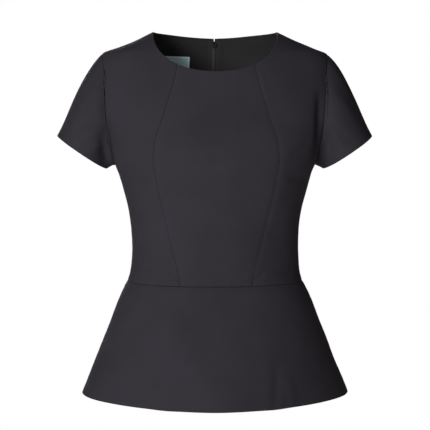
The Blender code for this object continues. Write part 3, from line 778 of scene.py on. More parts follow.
class CutPiece:
    """A piece of cloth laid out as a grid, with its edges turned under and its corners closed."""

    def __init__(
        self, points: Array, normals: Array, flats: Array, edges: Edges, closed: bool = False
    ) -> None:
        """Builds the surface.

        Args:
            points: the middle of the cloth's thickness, as a grid that stops short of the seam lines.
            normals: its normals.
            flats: where each point lies in the flat cloth.
            edges: what each edge does.
            closed: true where the piece is a tube.
        """
        self.points, self.normals, self.flats = points, normals, flats
        self.surface = Surface()
        self.surface.add(points, normals, flats)
        down, across = column_lengths(points), row_lengths(points)
        self.from_top, self.from_bottom = down, down[-1:] - down
        self.from_left, self.from_right = across, across[:, -1:] - across
        self.turn_under(edges.top, np.s_[:, :], self.from_top, None, (0.0, -1.0))
        self.turn_under(edges.bottom, np.s_[::-1, :], self.from_bottom, None, (0.0, 1.0))
        if not closed:
            clear = (edges.top.under, edges.bottom.under)
            self.turn_under(edges.left, np.s_[:, :], self.from_left, clear, (-1.0, 0.0))
            self.turn_under(edges.right, np.s_[:, ::-1], self.from_right, clear, (1.0, 0.0))
            for row, column, upright, level in (
                (0, 0, edges.left, edges.top),
                (0, -1, edges.right, edges.top),
                (-1, 0, edges.left, edges.bottom),
                (-1, -1, edges.right, edges.bottom),
            ):
                self.close_corner(row, column, upright, level)

    def angles(self, edge: Edge) -> Array:
        """The steps in which an edge turns over, part of the way where no allowance lies under."""
        share = 1.0 if edge.under > 0.0 else MAKE.open_angle
        return np.array(MAKE.fold_angles) * share

    def outward(self, border: Array, inner: Array, normals: Array) -> Array:
        """The direction in the cloth that leads out over its border.

        Args:
            border: points on the border.
            inner: the points beside them, further in.
            normals: the cloth's normals on the border.

        Returns:
            Unit directions.
        """
        away = border - inner
        return unit(away - normals * (away * normals).sum(-1, keepdims=True))

    def turn_under(
        self,
        edge: Edge,
        order: tuple,
        distance: Array,
        clear: Optional[tuple[float, float]],
        way: tuple[float, float],
    ) -> None:
        """Rolls the cloth over at one edge and lays the allowance under it.

        Args:
            edge: what the edge does.
            order: how the grid is read so that the edge comes first.
            distance: how far each point is from the edge.
            clear: how far the allowance stays from the top and the bottom, or None for a level edge.
            way: the direction over the edge in the flat cloth.
        """
        parts = [part[order] for part in (self.points, self.normals, self.flats, distance)]
        if clear is not None:
            parts = [part.swapaxes(0, 1) for part in parts]
        lines, normals, flats, far = parts
        border, normal = lines[0], normals[0]
        away = self.outward(border, lines[1], normal)
        radius = MAKE.fold_radius
        stack, facing, flat = [border], [normal], [flats[0]]
        for angle in self.angles(edge):
            fall = radius * (1.0 - math.cos(angle))
            stack.append(border + away * radius * math.sin(angle) - normal * fall)
            facing.append(normal * math.cos(angle) + away * math.sin(angle))
            flat.append(flats[0] + np.array(way) * radius * angle)
        folded = len(stack) - 1
        if edge.under > 0.0:
            for line in range(1, int((far.mean(axis=1) <= edge.under).sum())):
                stack.append(lines[line] - normals[line] * 2.0 * radius)
                facing.append(-normals[line])
                flat.append(flat[folded] + np.array(way) * far[line][:, None])
        keep = np.ones((len(stack) - 1, len(border) - 1), bool)
        if clear is not None:
            top, bottom = self.from_top[:, 0][:-1], self.from_bottom[:, 0][:-1]
            spare = MAKE.corner_clear
            keep[folded:] &= (top > clear[0] + spare) & (bottom > clear[1] + spare)
        self.surface.add(np.array(stack), np.array(facing), np.array(flat), keep)

    def close_corner(self, row: int, column: int, upright: Edge, level: Edge) -> None:
        """Fills the rounded corner between two folds.

        Args:
            row: the corner's row, 0 or -1.
            column: the corner's column, 0 or -1.
            upright: the edge that runs down.
            level: the edge that runs across.
        """
        corner, normal = self.points[row, column], self.normals[row, column]
        beside = self.points[row, 1 if column == 0 else -2]
        below = self.points[1 if row == 0 else -2, column]
        out, up = self.outward(corner, beside, normal), self.outward(corner, below, normal)
        radius = MAKE.fold_radius
        points, normals = [], []
        for step in range(MAKE.corner_steps + 1):
            share = step / MAKE.corner_steps
            away = out * math.cos(share * QUARTER_TURN) + up * math.sin(share * QUARTER_TURN)
            away = away / np.linalg.norm(away)
            if share in (0.0, 1.0):
                away = (out, up)[int(share)]
            angles = self.angles(upright) * (1.0 - share) + self.angles(level) * share
            angles = np.concatenate([[0.0], angles])[:, None]
            fall = normal * radius * (1.0 - np.cos(angles))
            points.append(corner + away * radius * np.sin(angles) - fall)
            normals.append(normal * np.cos(angles) + away * np.sin(angles))
        flats = np.broadcast_to(self.flats[row, column], (len(points), len(points[0]), 2))
        self.surface.add(np.array(points), np.array(normals), flats)


def edge_shape(points: Array, edges: Edges, closed: bool = False) -> Array:
    """How the sewn edges pull the cloth in, and pucker it a little.

    Args:
        points: the cloth's grid.
        edges: what each edge does.
        closed: true where the piece is a tube.

    Returns:
        Distances out of the cloth, below zero at the seams.
    """
    down, across = column_lengths(points), row_lengths(points)
    rows = [(edges.top, down, across), (edges.bottom, down[-1:] - down, across)]
    if not closed:
        rows += [(edges.left, across, down), (edges.right, across[:, -1:] - across, down)]
    moved = np.zeros(points.shape[:-1])
    for edge, distance, along in rows:
        if not edge.sewn:
            continue
        moved -= MAKE.dip * np.exp(-((distance / MAKE.dip_spread) ** 2))
        ripple = np.sin(along * 2.0 * math.pi / MAKE.pucker_length) * np.sin(along * MAKE.pucker_turns + 1.0)
        fade = np.exp(-distance / MAKE.pucker_reach) * np.clip(distance / MAKE.pucker_start, 0.0, 1.0)
        moved += MAKE.pucker * ripple * fade
    return moved


def flat_places(points: Array) -> Array:
    """Where each point of a grid lies in the flat cloth, in metres from its first corner."""
    middle = points.shape[1] // 2
    across = row_lengths(points)
    across = across - across[:, middle : middle + 1]
    return np.stack([across, column_lengths(points)], axis=-1)


def lay_panel(name: str, places: Array, lift: Lift, edges: Edges, shape: Lift) -> bpy.types.Object:
    """Lays one cut piece over a form.

    Args:
        name: the piece's name.
        places: its dense grid of places.
        lift: turns places into points on the form.
        edges: what its edges do.
        shape: says how far points on the form are moved out of the cloth.

    Returns:
        The piece.
    """
    places = MAKE.respace(MAKE.respace(places, lift, 1), lift, 0)
    base = lift(places)
    centre = middle_of(base)
    moved = shape(base) + edge_shape(base, edges)
    points = base + grid_normals(base, centre) * (moved - MAKE.thickness / 2.0)[..., None]
    piece = CutPiece(points, grid_normals(points, centre), flat_places(points), edges)
    return piece.surface.solid(name, MAKE.thickness)


class Nodes:
    """A material or geometry tree that is being built."""

    def __init__(self, tree: bpy.types.NodeTree) -> None:
        """Takes the tree that the nodes go into."""
        self.tree = tree

    def add(self, kind: str, settings: Optional[dict] = None, **inputs: object) -> bpy.types.Node:
        """Adds a node.

        Args:
            kind: the node's type.
            settings: properties of the node itself.
            inputs: values or sockets for its inputs, with the input's name and _ for a space.

        Returns:
            The node.
        """
        node = self.tree.nodes.new(kind)
        for name, value in (settings or {}).items():
            setattr(node, name, value)
        for name, value in inputs.items():
            self.give(node.inputs[int(name[1:]) if name[1:].isdigit() else name.replace("_", " ")], value)
        return node

    def give(self, socket: bpy.types.NodeSocket, value: object) -> None:
        """Links a socket or sets its value."""
        if isinstance(value, bpy.types.NodeSocket):
            self.tree.links.new(value, socket)
        else:
            socket.default_value = value

    def math(self, operation: str, first: object, second: object = 0.0) -> bpy.types.NodeSocket:
        """One sum of two numbers."""
        return self.add("ShaderNodeMath", {"operation": operation}, i0=first, i1=second).outputs[0]

    def mix(self, shader: bpy.types.Node, share: bpy.types.NodeSocket, first: Colour, second: Colour) -> None:
        """Colours a shader between two shades.

        Args:
            shader: the shader.
            share: how much of the second shade there is.
            first: the first shade.
            second: the second shade.
        """
        mixed = self.add("ShaderNodeMix", {"data_type": "RGBA"})
        self.give(mixed.inputs["Factor"], share)
        mixed.inputs[6].default_value = (*first, 1.0)
        mixed.inputs[7].default_value = (*second, 1.0)
        self.give(shader.inputs["Base Color"], mixed.outputs[2])

    def ramp(
        self,
        shader: bpy.types.Node,
        share: bpy.types.NodeSocket,
        colours: tuple[Colour, Colour],
        ends: tuple[float, float] = (0.0, 1.0),
    ) -> None:
        """Colours a shader with a ramp.

        Args:
            shader: the shader.
            share: where on the ramp each point is.
            colours: the ramp's two colours.
            ends: where on the ramp they lie.
        """
        made = self.add("ShaderNodeValToRGB", i0=share)
        for stop, end, colour in zip(made.color_ramp.elements, ends, colours):
            stop.position = end
            stop.color = (*colour, 1.0)
        self.give(shader.inputs["Base Color"], made.outputs["Color"])

    def bump(
        self, shader: bpy.types.Node, height: bpy.types.NodeSocket, strength: float, depth: float
    ) -> None:
        """Roughens a shader's surface.

        Args:
            shader: the shader.
            height: the surface's height.
            strength: how strongly it shows.
            depth: the depth of one unit of height, in metres.
        """
        made = self.add("ShaderNodeBump", Strength=strength, Distance=depth, Height=height)
        self.give(shader.inputs["Normal"], made.outputs["Normal"])


class ThreadSizes(NamedTuple):
    """The sizes of a repeated stitch or loop, in metres."""

    pitch: float
    half_length: float
    rise: float
    thread_radius: float
    sideways: float = 0.0


class RepeatedThread:
    """A short loop or arc of thread, repeated along lines by Geometry Nodes."""

    section_corners: int = 4
    stitch_cells: int = 5
    loop_corners: int = 8

    def __init__(self, name: str, loop: bool) -> None:
        """Builds the tree.

        Args:
            name: the tree's name.
            loop: true for a closed loop across the line, false for a stitch along it.
        """
        self.tree = bpy.data.node_groups.new(name, "GeometryNodeTree")
        sockets = self.tree.interface
        sockets.new_socket("Geometry", in_out="INPUT", socket_type="NodeSocketGeometry")
        for size in ("Pitch", "Half length", "Rise", "Thread radius", "Sideways"):
            sockets.new_socket(size, in_out="INPUT", socket_type="NodeSocketFloat")
        sockets.new_socket("Finish", in_out="INPUT", socket_type="NodeSocketMaterial")
        sockets.new_socket("Geometry", in_out="OUTPUT", socket_type="NodeSocketGeometry")
        nodes = Nodes(self.tree)
        given = nodes.add("NodeGroupInput").outputs
        line = nodes.add("GeometryNodeMeshToCurve", Mesh=given["Geometry"]).outputs[0]
        even = nodes.add("GeometryNodeResampleCurve", {"mode": "LENGTH"}, Curve=line, Length=given["Pitch"])
        line = even.outputs[0]
        tangent = nodes.add("GeometryNodeInputTangent").outputs[0]
        upward = nodes.add("GeometryNodeInputNamedAttribute", {"data_type": "FLOAT_VECTOR"}, Name="up")
        upward = upward.outputs[0]
        turned = nodes.add("FunctionNodeAxesToRotation", i0=tangent, i1=upward)
        turned.primary_axis, turned.secondary_axis = "X", "Z"
        across = nodes.add("ShaderNodeVectorMath", {"operation": "CROSS_PRODUCT"}, i0=tangent, i1=upward)
        order = nodes.add("GeometryNodeInputIndex").outputs[0]
        swing = nodes.math("SUBTRACT", nodes.math("MULTIPLY", nodes.math("MODULO", order, 2.0), 2.0), 1.0)
        swing = nodes.math("MULTIPLY", swing, given["Sideways"])
        shift = nodes.add("ShaderNodeVectorMath", {"operation": "SCALE"}, i0=across.outputs[0], Scale=swing)
        line = nodes.add("GeometryNodeSetPosition", Geometry=line, Offset=shift.outputs[0]).outputs[0]
        thread = self.loop(nodes, given) if loop else self.arc(nodes, given)
        radius = given["Thread radius"]
        ring = nodes.add("GeometryNodeCurvePrimitiveCircle", Resolution=self.section_corners, Radius=radius)
        drawn = nodes.add("GeometryNodeCurveToMesh", Curve=thread, Profile_Curve=ring.outputs[0])
        drawn.inputs["Fill Caps"].default_value = True
        placed = nodes.add("GeometryNodeInstanceOnPoints", Points=line, Instance=drawn.outputs[0])
        nodes.give(placed.inputs["Rotation"], turned.outputs[0])
        real = nodes.add("GeometryNodeRealizeInstances", Geometry=placed.outputs[0]).outputs[0]
        real = nodes.add("GeometryNodeSetMaterial", Geometry=real, Material=given["Finish"]).outputs[0]
        nodes.add("NodeGroupOutput", Geometry=real)

    def arc(self, nodes: Nodes, given: bpy.types.bpy_prop_collection) -> bpy.types.NodeSocket:
        """One stitch: an arc that rises from the cloth and goes back into it.

        Args:
            nodes: the tree.
            given: the tree's inputs.

        Returns:
            The arc's curve.
        """
        back = nodes.math("MULTIPLY", given["Half length"], -1.0)
        low = nodes.math("MULTIPLY", given["Rise"], -1.0)
        crown = nodes.math("MULTIPLY", given["Rise"], 2.0)
        start, middle, end = (
            nodes.add("ShaderNodeCombineXYZ", X=x, Z=z).outputs[0]
            for x, z in ((back, low), (0.0, crown), (given["Half length"], low))
        )
        made = nodes.add("GeometryNodeCurveQuadraticBezier", Start=start, Middle=middle, End=end)
        made.inputs["Resolution"].default_value = self.stitch_cells
        return made.outputs[0]

    def loop(self, nodes: Nodes, given: bpy.types.bpy_prop_collection) -> bpy.types.NodeSocket:
        """One turn of the zip's coil: a flat loop that stands across the line.

        Args:
            nodes: the tree.
            given: the tree's inputs.

        Returns:
            The loop's curve.
        """
        made = nodes.add("GeometryNodeCurvePrimitiveCircle", Resolution=self.loop_corners, Radius=1.0)
        made = made.outputs[0]
        size = nodes.add("ShaderNodeCombineXYZ", X=given["Rise"], Y=given["Half length"], Z=1.0).outputs[0]
        made = nodes.add("GeometryNodeTransform", Geometry=made, Scale=size).outputs[0]
        upright = (0.0, QUARTER_TURN, 0.0)
        return nodes.add("GeometryNodeTransform", Geometry=made, Rotation=upright).outputs[0]

    def along(
        self,
        name: str,
        lines: Sequence[tuple[Array, Array]],
        sizes: ThreadSizes,
        finish: bpy.types.Material,
    ) -> bpy.types.Object:
        """Runs the thread along lines.

        Args:
            name: the new piece's name.
            lines: the points of each line, and the way up at each point.
            sizes: the sizes of a stitch or loop.
            finish: the thread's material.

        Returns:
            A plain mesh.
        """
        points = np.concatenate([line for line, _ in lines])
        upward = np.concatenate([up for _, up in lines])
        edges, count = [], 0
        for line, _ in lines:
            edges += [(count + step, count + step + 1) for step in range(len(line) - 1)]
            count += len(line)
        mesh = bpy.data.meshes.new(name + "_line")
        mesh.from_pydata(points.tolist(), edges, [])
        layer = mesh.attributes.new("up", "FLOAT_VECTOR", "POINT")
        layer.data.foreach_set("vector", upward.astype(np.float32).ravel())
        guide = new_object(name + "_line", mesh)
        modifier = guide.modifiers.new("thread", "NODES")
        modifier.node_group = self.tree
        sockets = [item for item in self.tree.interface.items_tree if item.in_out == "INPUT"][1:]
        for socket, value in zip(sockets, [*sizes, finish]):
            modifier[socket.identifier] = value
        bpy.context.view_layer.update()
        whole = guide.evaluated_get(bpy.context.evaluated_depsgraph_get())
        made = bpy.data.meshes.new_from_object(whole)
        made.name = name
        guide.modifiers.clear()
        bpy.data.objects.remove(guide)
        return new_object(name, made)


def new_material(name: str) -> tuple[bpy.types.Material, Nodes, bpy.types.Node]:
    """A material with its shader.

    Args:
        name: the material's name.

    Returns:
        The material, its nodes and its shader node.
    """
    made = bpy.data.materials.new(name)
    made.use_nodes = True
    return made, Nodes(made.node_tree), made.node_tree.nodes["Principled BSDF"]


@dataclass(frozen=True)
class WovenFinish:
    """A woven cloth: its two shades, the pitch of its threads and how they catch the light."""

    name: str
    dark: Colour
    light: Colour
    thread_pitch: float
    slant: float = 1.0
    bump: float = 0.00006
    bump_strength: float = 0.5
    roughness: float = 0.85
    specular: float = 0.10
    mottle_scale: float = 16.0
    fuzz_scale: float = 1400.0
    fuzz_share: float = 0.8
    thread_share: float = 0.10
    pale_band: float = 0.0

    def build(self) -> bpy.types.Material:
        """Makes the material. The weave follows the cloth's own flat places."""
        material, nodes, shader = new_material(self.name)
        flat = nodes.add("ShaderNodeUVMap", {"uv_map": "cloth"}).outputs["UV"]
        place = nodes.add("ShaderNodeTexCoord").outputs["Object"]
        parts = nodes.add("ShaderNodeSeparateXYZ", i0=flat).outputs
        turn = 2.0 * math.pi / self.thread_pitch
        warp = nodes.math("SINE", nodes.math("MULTIPLY", parts["X"], turn))
        weft = nodes.math("SINE", nodes.math("MULTIPLY", parts["Y"], turn))
        slanted = nodes.math("ADD", parts["X"], nodes.math("MULTIPLY", parts["Y"], self.slant))
        twill = nodes.math("SINE", nodes.math("MULTIPLY", slanted, turn / 2.0))
        height = nodes.math("ADD", nodes.math("MULTIPLY", warp, weft), twill)
        fuzz = nodes.add("ShaderNodeTexNoise", i0=place, Scale=self.fuzz_scale, Detail=2.0).outputs["Fac"]
        height = nodes.math("ADD", height, nodes.math("MULTIPLY", fuzz, self.fuzz_share))
        mottle = nodes.add("ShaderNodeTexNoise", i0=place, Scale=self.mottle_scale, Detail=3.0)
        threads = nodes.math("MULTIPLY_ADD", height, self.thread_share)
        threads.node.inputs[2].default_value = self.thread_share
        share = nodes.math("ADD", mottle.outputs["Fac"], threads)
        if self.pale_band > 0.0:
            share = nodes.math("ADD", share, nodes.math("LESS_THAN", parts["X"], self.pale_band))
        nodes.mix(shader, share, self.dark, self.light)
        nodes.bump(shader, height, self.bump_strength, self.bump)
        shader.inputs["Roughness"].default_value = self.roughness
        shader.inputs["Specular IOR Level"].default_value = self.specular
        return material


@dataclass(frozen=True)
class LabelFinish:
    """A plain woven satin label with a paler woven border."""

    name: str = "label_satin"
    ground: Colour = (0.36, 0.55, 0.58)
    border: Colour = (0.60, 0.72, 0.74)
    border_width: float = 0.0022
    grain_pitch: float = 0.0005
    grain_share: float = 0.4
    rib_pitch: float = 0.0007
    bump: float = 0.00005
    bump_strength: float = 0.4
    roughness: float = 0.5
    specular: float = 0.4

    def build(self, width: float, rise: float) -> bpy.types.Material:
        """Makes the material.

        Args:
            width: the label's width.
            rise: the label's height.

        Returns:
            The material.
        """
        material, nodes, shader = new_material(self.name)
        flat = nodes.add("ShaderNodeUVMap", {"uv_map": "cloth"}).outputs["UV"]
        parts = nodes.add("ShaderNodeSeparateXYZ", i0=flat).outputs
        beyond = []
        for socket, half in ((parts["X"], width / 2.0), (parts["Y"], rise / 2.0)):
            off = nodes.math("ABSOLUTE", socket)
            beyond.append(nodes.math("GREATER_THAN", off, half - self.border_width))
        nodes.mix(shader, nodes.math("MAXIMUM", *beyond), self.ground, self.border)
        grain, ribs = (
            nodes.math("SINE", nodes.math("MULTIPLY", socket, 2.0 * math.pi / pitch))
            for socket, pitch in ((parts["X"], self.grain_pitch), (parts["Y"], self.rib_pitch))
        )
        height = nodes.math("ADD", nodes.math("MULTIPLY", grain, self.grain_share), ribs)
        nodes.bump(shader, height, self.bump_strength, self.bump)
        shader.inputs["Roughness"].default_value = self.roughness
        shader.inputs["Specular IOR Level"].default_value = self.specular
        return material


@dataclass(frozen=True)
class MetalFinish:
    """Black painted zip metal, worn a little paler where it is rubbed."""

    name: str = "painted_zip_metal"
    paint: Colour = (0.010, 0.010, 0.011)
    rubbed: Colour = (0.05, 0.05, 0.05)
    wear_scale: float = 420.0
    wear_ends: tuple[float, float] = (0.55, 0.8)
    grain_scale: float = 3000.0
    bump: float = 0.00003
    bump_strength: float = 0.2
    roughness: float = 0.38
    metallic: float = 0.6

    def build(self) -> bpy.types.Material:
        """Makes the material."""
        material, nodes, shader = new_material(self.name)
        place = nodes.add("ShaderNodeTexCoord").outputs["Object"]
        wear = nodes.add("ShaderNodeTexNoise", i0=place, Scale=self.wear_scale, Detail=3.0).outputs["Fac"]
        nodes.ramp(shader, wear, (self.paint, self.rubbed), self.wear_ends)
        grain = nodes.add("ShaderNodeTexNoise", i0=place, Scale=self.grain_scale, Detail=1.0).outputs["Fac"]
        nodes.bump(shader, grain, self.bump_strength, self.bump)
        shader.inputs["Roughness"].default_value = self.roughness
        shader.inputs["Metallic"].default_value = self.metallic
        return material


@dataclass(frozen=True)
class ThreadFinish:
    """Twisted black thread, also that of the zip's coil."""

    name: str = "black_thread"
    dark: Colour = (0.012, 0.012, 0.013)
    light: Colour = (0.060, 0.060, 0.062)
    twist_scale: float = 2600.0
    bump: float = 0.00004
    bump_strength: float = 0.4
    roughness: float = 0.55
    specular: float = 0.3

    def build(self) -> bpy.types.Material:
        """Makes the material."""
        material, nodes, shader = new_material(self.name)
        place = nodes.add("ShaderNodeTexCoord").outputs["Object"]
        twist = nodes.add("ShaderNodeTexNoise", i0=place, Scale=self.twist_scale, Detail=1.0).outputs["Fac"]
        nodes.ramp(shader, twist, (self.dark, self.light))
        nodes.bump(shader, twist, self.bump_strength, self.bump)
        shader.inputs["Roughness"].default_value = self.roughness
        shader.inputs["Specular IOR Level"].default_value = self.specular
        return material


@dataclass(frozen=True)
class Finishes:
    """Every finish of the top."""

    suiting: bpy.types.Material
    facing: bpy.types.Material
    tape: bpy.types.Material
    metal: bpy.types.Material
    thread: bpy.types.Material


def make_finishes() -> Finishes:
    """Makes the materials that several pieces share."""
    suiting = WovenFinish(
        "black_suiting",
        dark=(0.0150, 0.0130, 0.0158),
        light=(0.0225, 0.0200, 0.0250),
        thread_pitch=0.0007,
    )
    facing = WovenFinish(
        "black_facing",
        dark=(0.0150, 0.0150, 0.0152),
        light=(0.0200, 0.0200, 0.0202),
        thread_pitch=0.0005,
        slant=0.0,
    )
    tape = WovenFinish(
        "black_zip_tape",
        dark=(0.0130, 0.0130, 0.0130),
        light=(0.0220, 0.0220, 0.0225),
        thread_pitch=0.0010,
        pale_band=0.005,
    )
    return Finishes(*(finish.build() for finish in (suiting, facing, tape, MetalFinish(), ThreadFinish())))


def dress(
    piece: bpy.types.Object, material: bpy.types.Material, nodes: Sequence[str]
) -> bpy.types.Object:
    """Gives a piece its finish and its place in the frame, on the garment's body.

    Args:
        piece: the finished piece.
        material: its material.
        nodes: the solids that it stands for.

    Returns:
        The piece.
    """
    piece.data.materials.clear()
    piece.data.materials.append(material)
    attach(piece, GARMENT)
    if nodes:
        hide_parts(*nodes)
    LOG.info("%s: %d faces", piece.name, len(piece.data.polygons))
    return piece


class Held(Enum):
    """How the form holds a piece of cloth, in the frame's own words."""

    STRETCHED = "stretched"
    HUNG = "hung"


@dataclass(frozen=True)
class Cut:
    """The flat size of a cut piece as it is built, with its turned edges, and what it is sewn to."""

    width: float
    length: float
    area: float
    sewn_to: tuple[str, ...]
    held: Held = Held.STRETCHED


@dataclass
class Bodice:
    """The fitted body of the top: a centre front, two side fronts and two backs."""

    finish: bpy.types.Material
    seam_allowance: float = 0.012
    neck_turning: float = 0.009
    front_creases: tuple[Crease, ...] = (
        Crease((-0.082, -0.377), (-0.066, -0.389), (-0.049, -0.404), 0.0020, 0.0040),
        Crease((-0.086, -0.366), (-0.071, -0.379), (-0.056, -0.394), -0.0009, 0.0040),
        Crease((0.078, -0.384), (0.066, -0.394), (0.052, -0.404), 0.0012, 0.0040),
        Crease((-0.137, -0.372), (-0.116, -0.379), (-0.094, -0.378), 0.0011, 0.0050),
        Crease((0.136, -0.378), (0.114, -0.386), (0.090, -0.385), 0.0013, 0.0050),
        Crease((-0.152, -0.250), (-0.128, -0.240), (-0.104, -0.232), 0.0013, 0.0080),
        Crease((0.153, -0.244), (0.130, -0.238), (0.106, -0.236), 0.0016, 0.0080),
        Crease((0.1665, -0.090), (0.1650, -0.150), (0.1570, -0.236), 0.0062, 0.0095),
        Crease((-0.105, -0.240), (0.0, -0.250), (0.105, -0.240), 0.0030, 0.0220),
        Crease((-0.1730, -0.120), (-0.1715, -0.165), (-0.1680, -0.216), 0.0032, 0.0070, Fade.START_ONLY),
        Crease((-0.158, -0.130), (-0.152, -0.170), (-0.140, -0.205), -0.0012, 0.0090),
        Crease((0.156, -0.170), (0.134, -0.190), (0.112, -0.198), 0.0012, 0.0080),
        Crease((0.070, -0.070), (0.074, -0.088), (0.079, -0.112), -0.0008, 0.0040),
    )
    back_creases: tuple[Crease, ...] = (
        Crease((-0.070, -0.250), (-0.068, -0.320), (-0.060, -0.405), 0.0016, 0.0045),
        Crease((0.070, -0.250), (0.068, -0.320), (0.060, -0.405), 0.0016, 0.0045),
        Crease((-0.012, -0.352), (-0.052, -0.362), (-0.098, -0.352), 0.0014, 0.0060),
        Crease((0.010, -0.370), (0.046, -0.378), (0.092, -0.372), 0.0016, 0.0060),
        Crease((0.128, -0.340), (0.104, -0.346), (0.080, -0.338), 0.0012, 0.0055),
        Crease((-0.130, -0.372), (-0.106, -0.380), (-0.080, -0.378), 0.0013, 0.0055),
        Crease((0.158, -0.100), (0.152, -0.150), (0.158, -0.212), 0.0030, 0.0080, Fade.START_ONLY),
        Crease((-0.160, -0.108), (-0.153, -0.156), (-0.160, -0.212), 0.0034, 0.0080, Fade.START_ONLY),
        Crease((-0.120, -0.090), (-0.078, -0.118), (-0.030, -0.128), 0.0010, 0.0100),
        Crease((0.130, -0.120), (0.090, -0.140), (0.044, -0.150), 0.0012, 0.0100),
    )

    def shape(self, base: Array) -> Array:
        """How far the bodice's creases move points out of the cloth.

        Args:
            base: points on the form.

        Returns:
            Distances in metres.
        """
        moved = unevenness(base)
        for creases, behind in ((self.front_creases, False), (self.back_creases, True)):
            lift = BODICE.facing(behind)
            for crease in creases:
                moved = moved + crease.offset(base, lift)
        return moved

    def lay(self, name: str, node: str, places: Array, edges: Edges) -> bpy.types.Object:
        """Lays and dresses one panel.

        Args:
            name: the panel's name.
            node: the solid that it stands for.
            places: its dense grid of places.
            edges: what its edges do.

        Returns:
            The panel.
        """
        panel = lay_panel(name, places, BODICE.lift, edges, self.shape)
        return dress(panel, self.finish, [node])

    def build(self) -> list[bpy.types.Object]:
        """Makes and dresses the five panels."""
        seam = Edge(self.seam_allowance)
        front_edges = Edges(Edge(self.neck_turning, sewn=False), seam, seam, seam)
        back_edges = Edges(Edge(0.0, sewn=False), seam, Edge(0.0), seam)
        centre = PATTERN.front_centre_places()
        made = [self.lay("centre_front_panel", "bodice_front_centre", centre, front_edges)]
        for side in Side:
            word, mirror = side.word, (side.value, 1.0)
            front, back = PATTERN.front_side_places() * mirror, PATTERN.back_places() * mirror
            made.append(self.lay(f"side_front_{word}", f"bodice_front_side_{word}", front, front_edges))
            made.append(self.lay(f"back_panel_{word}", f"bodice_back_{word}", back, back_edges))
        return made


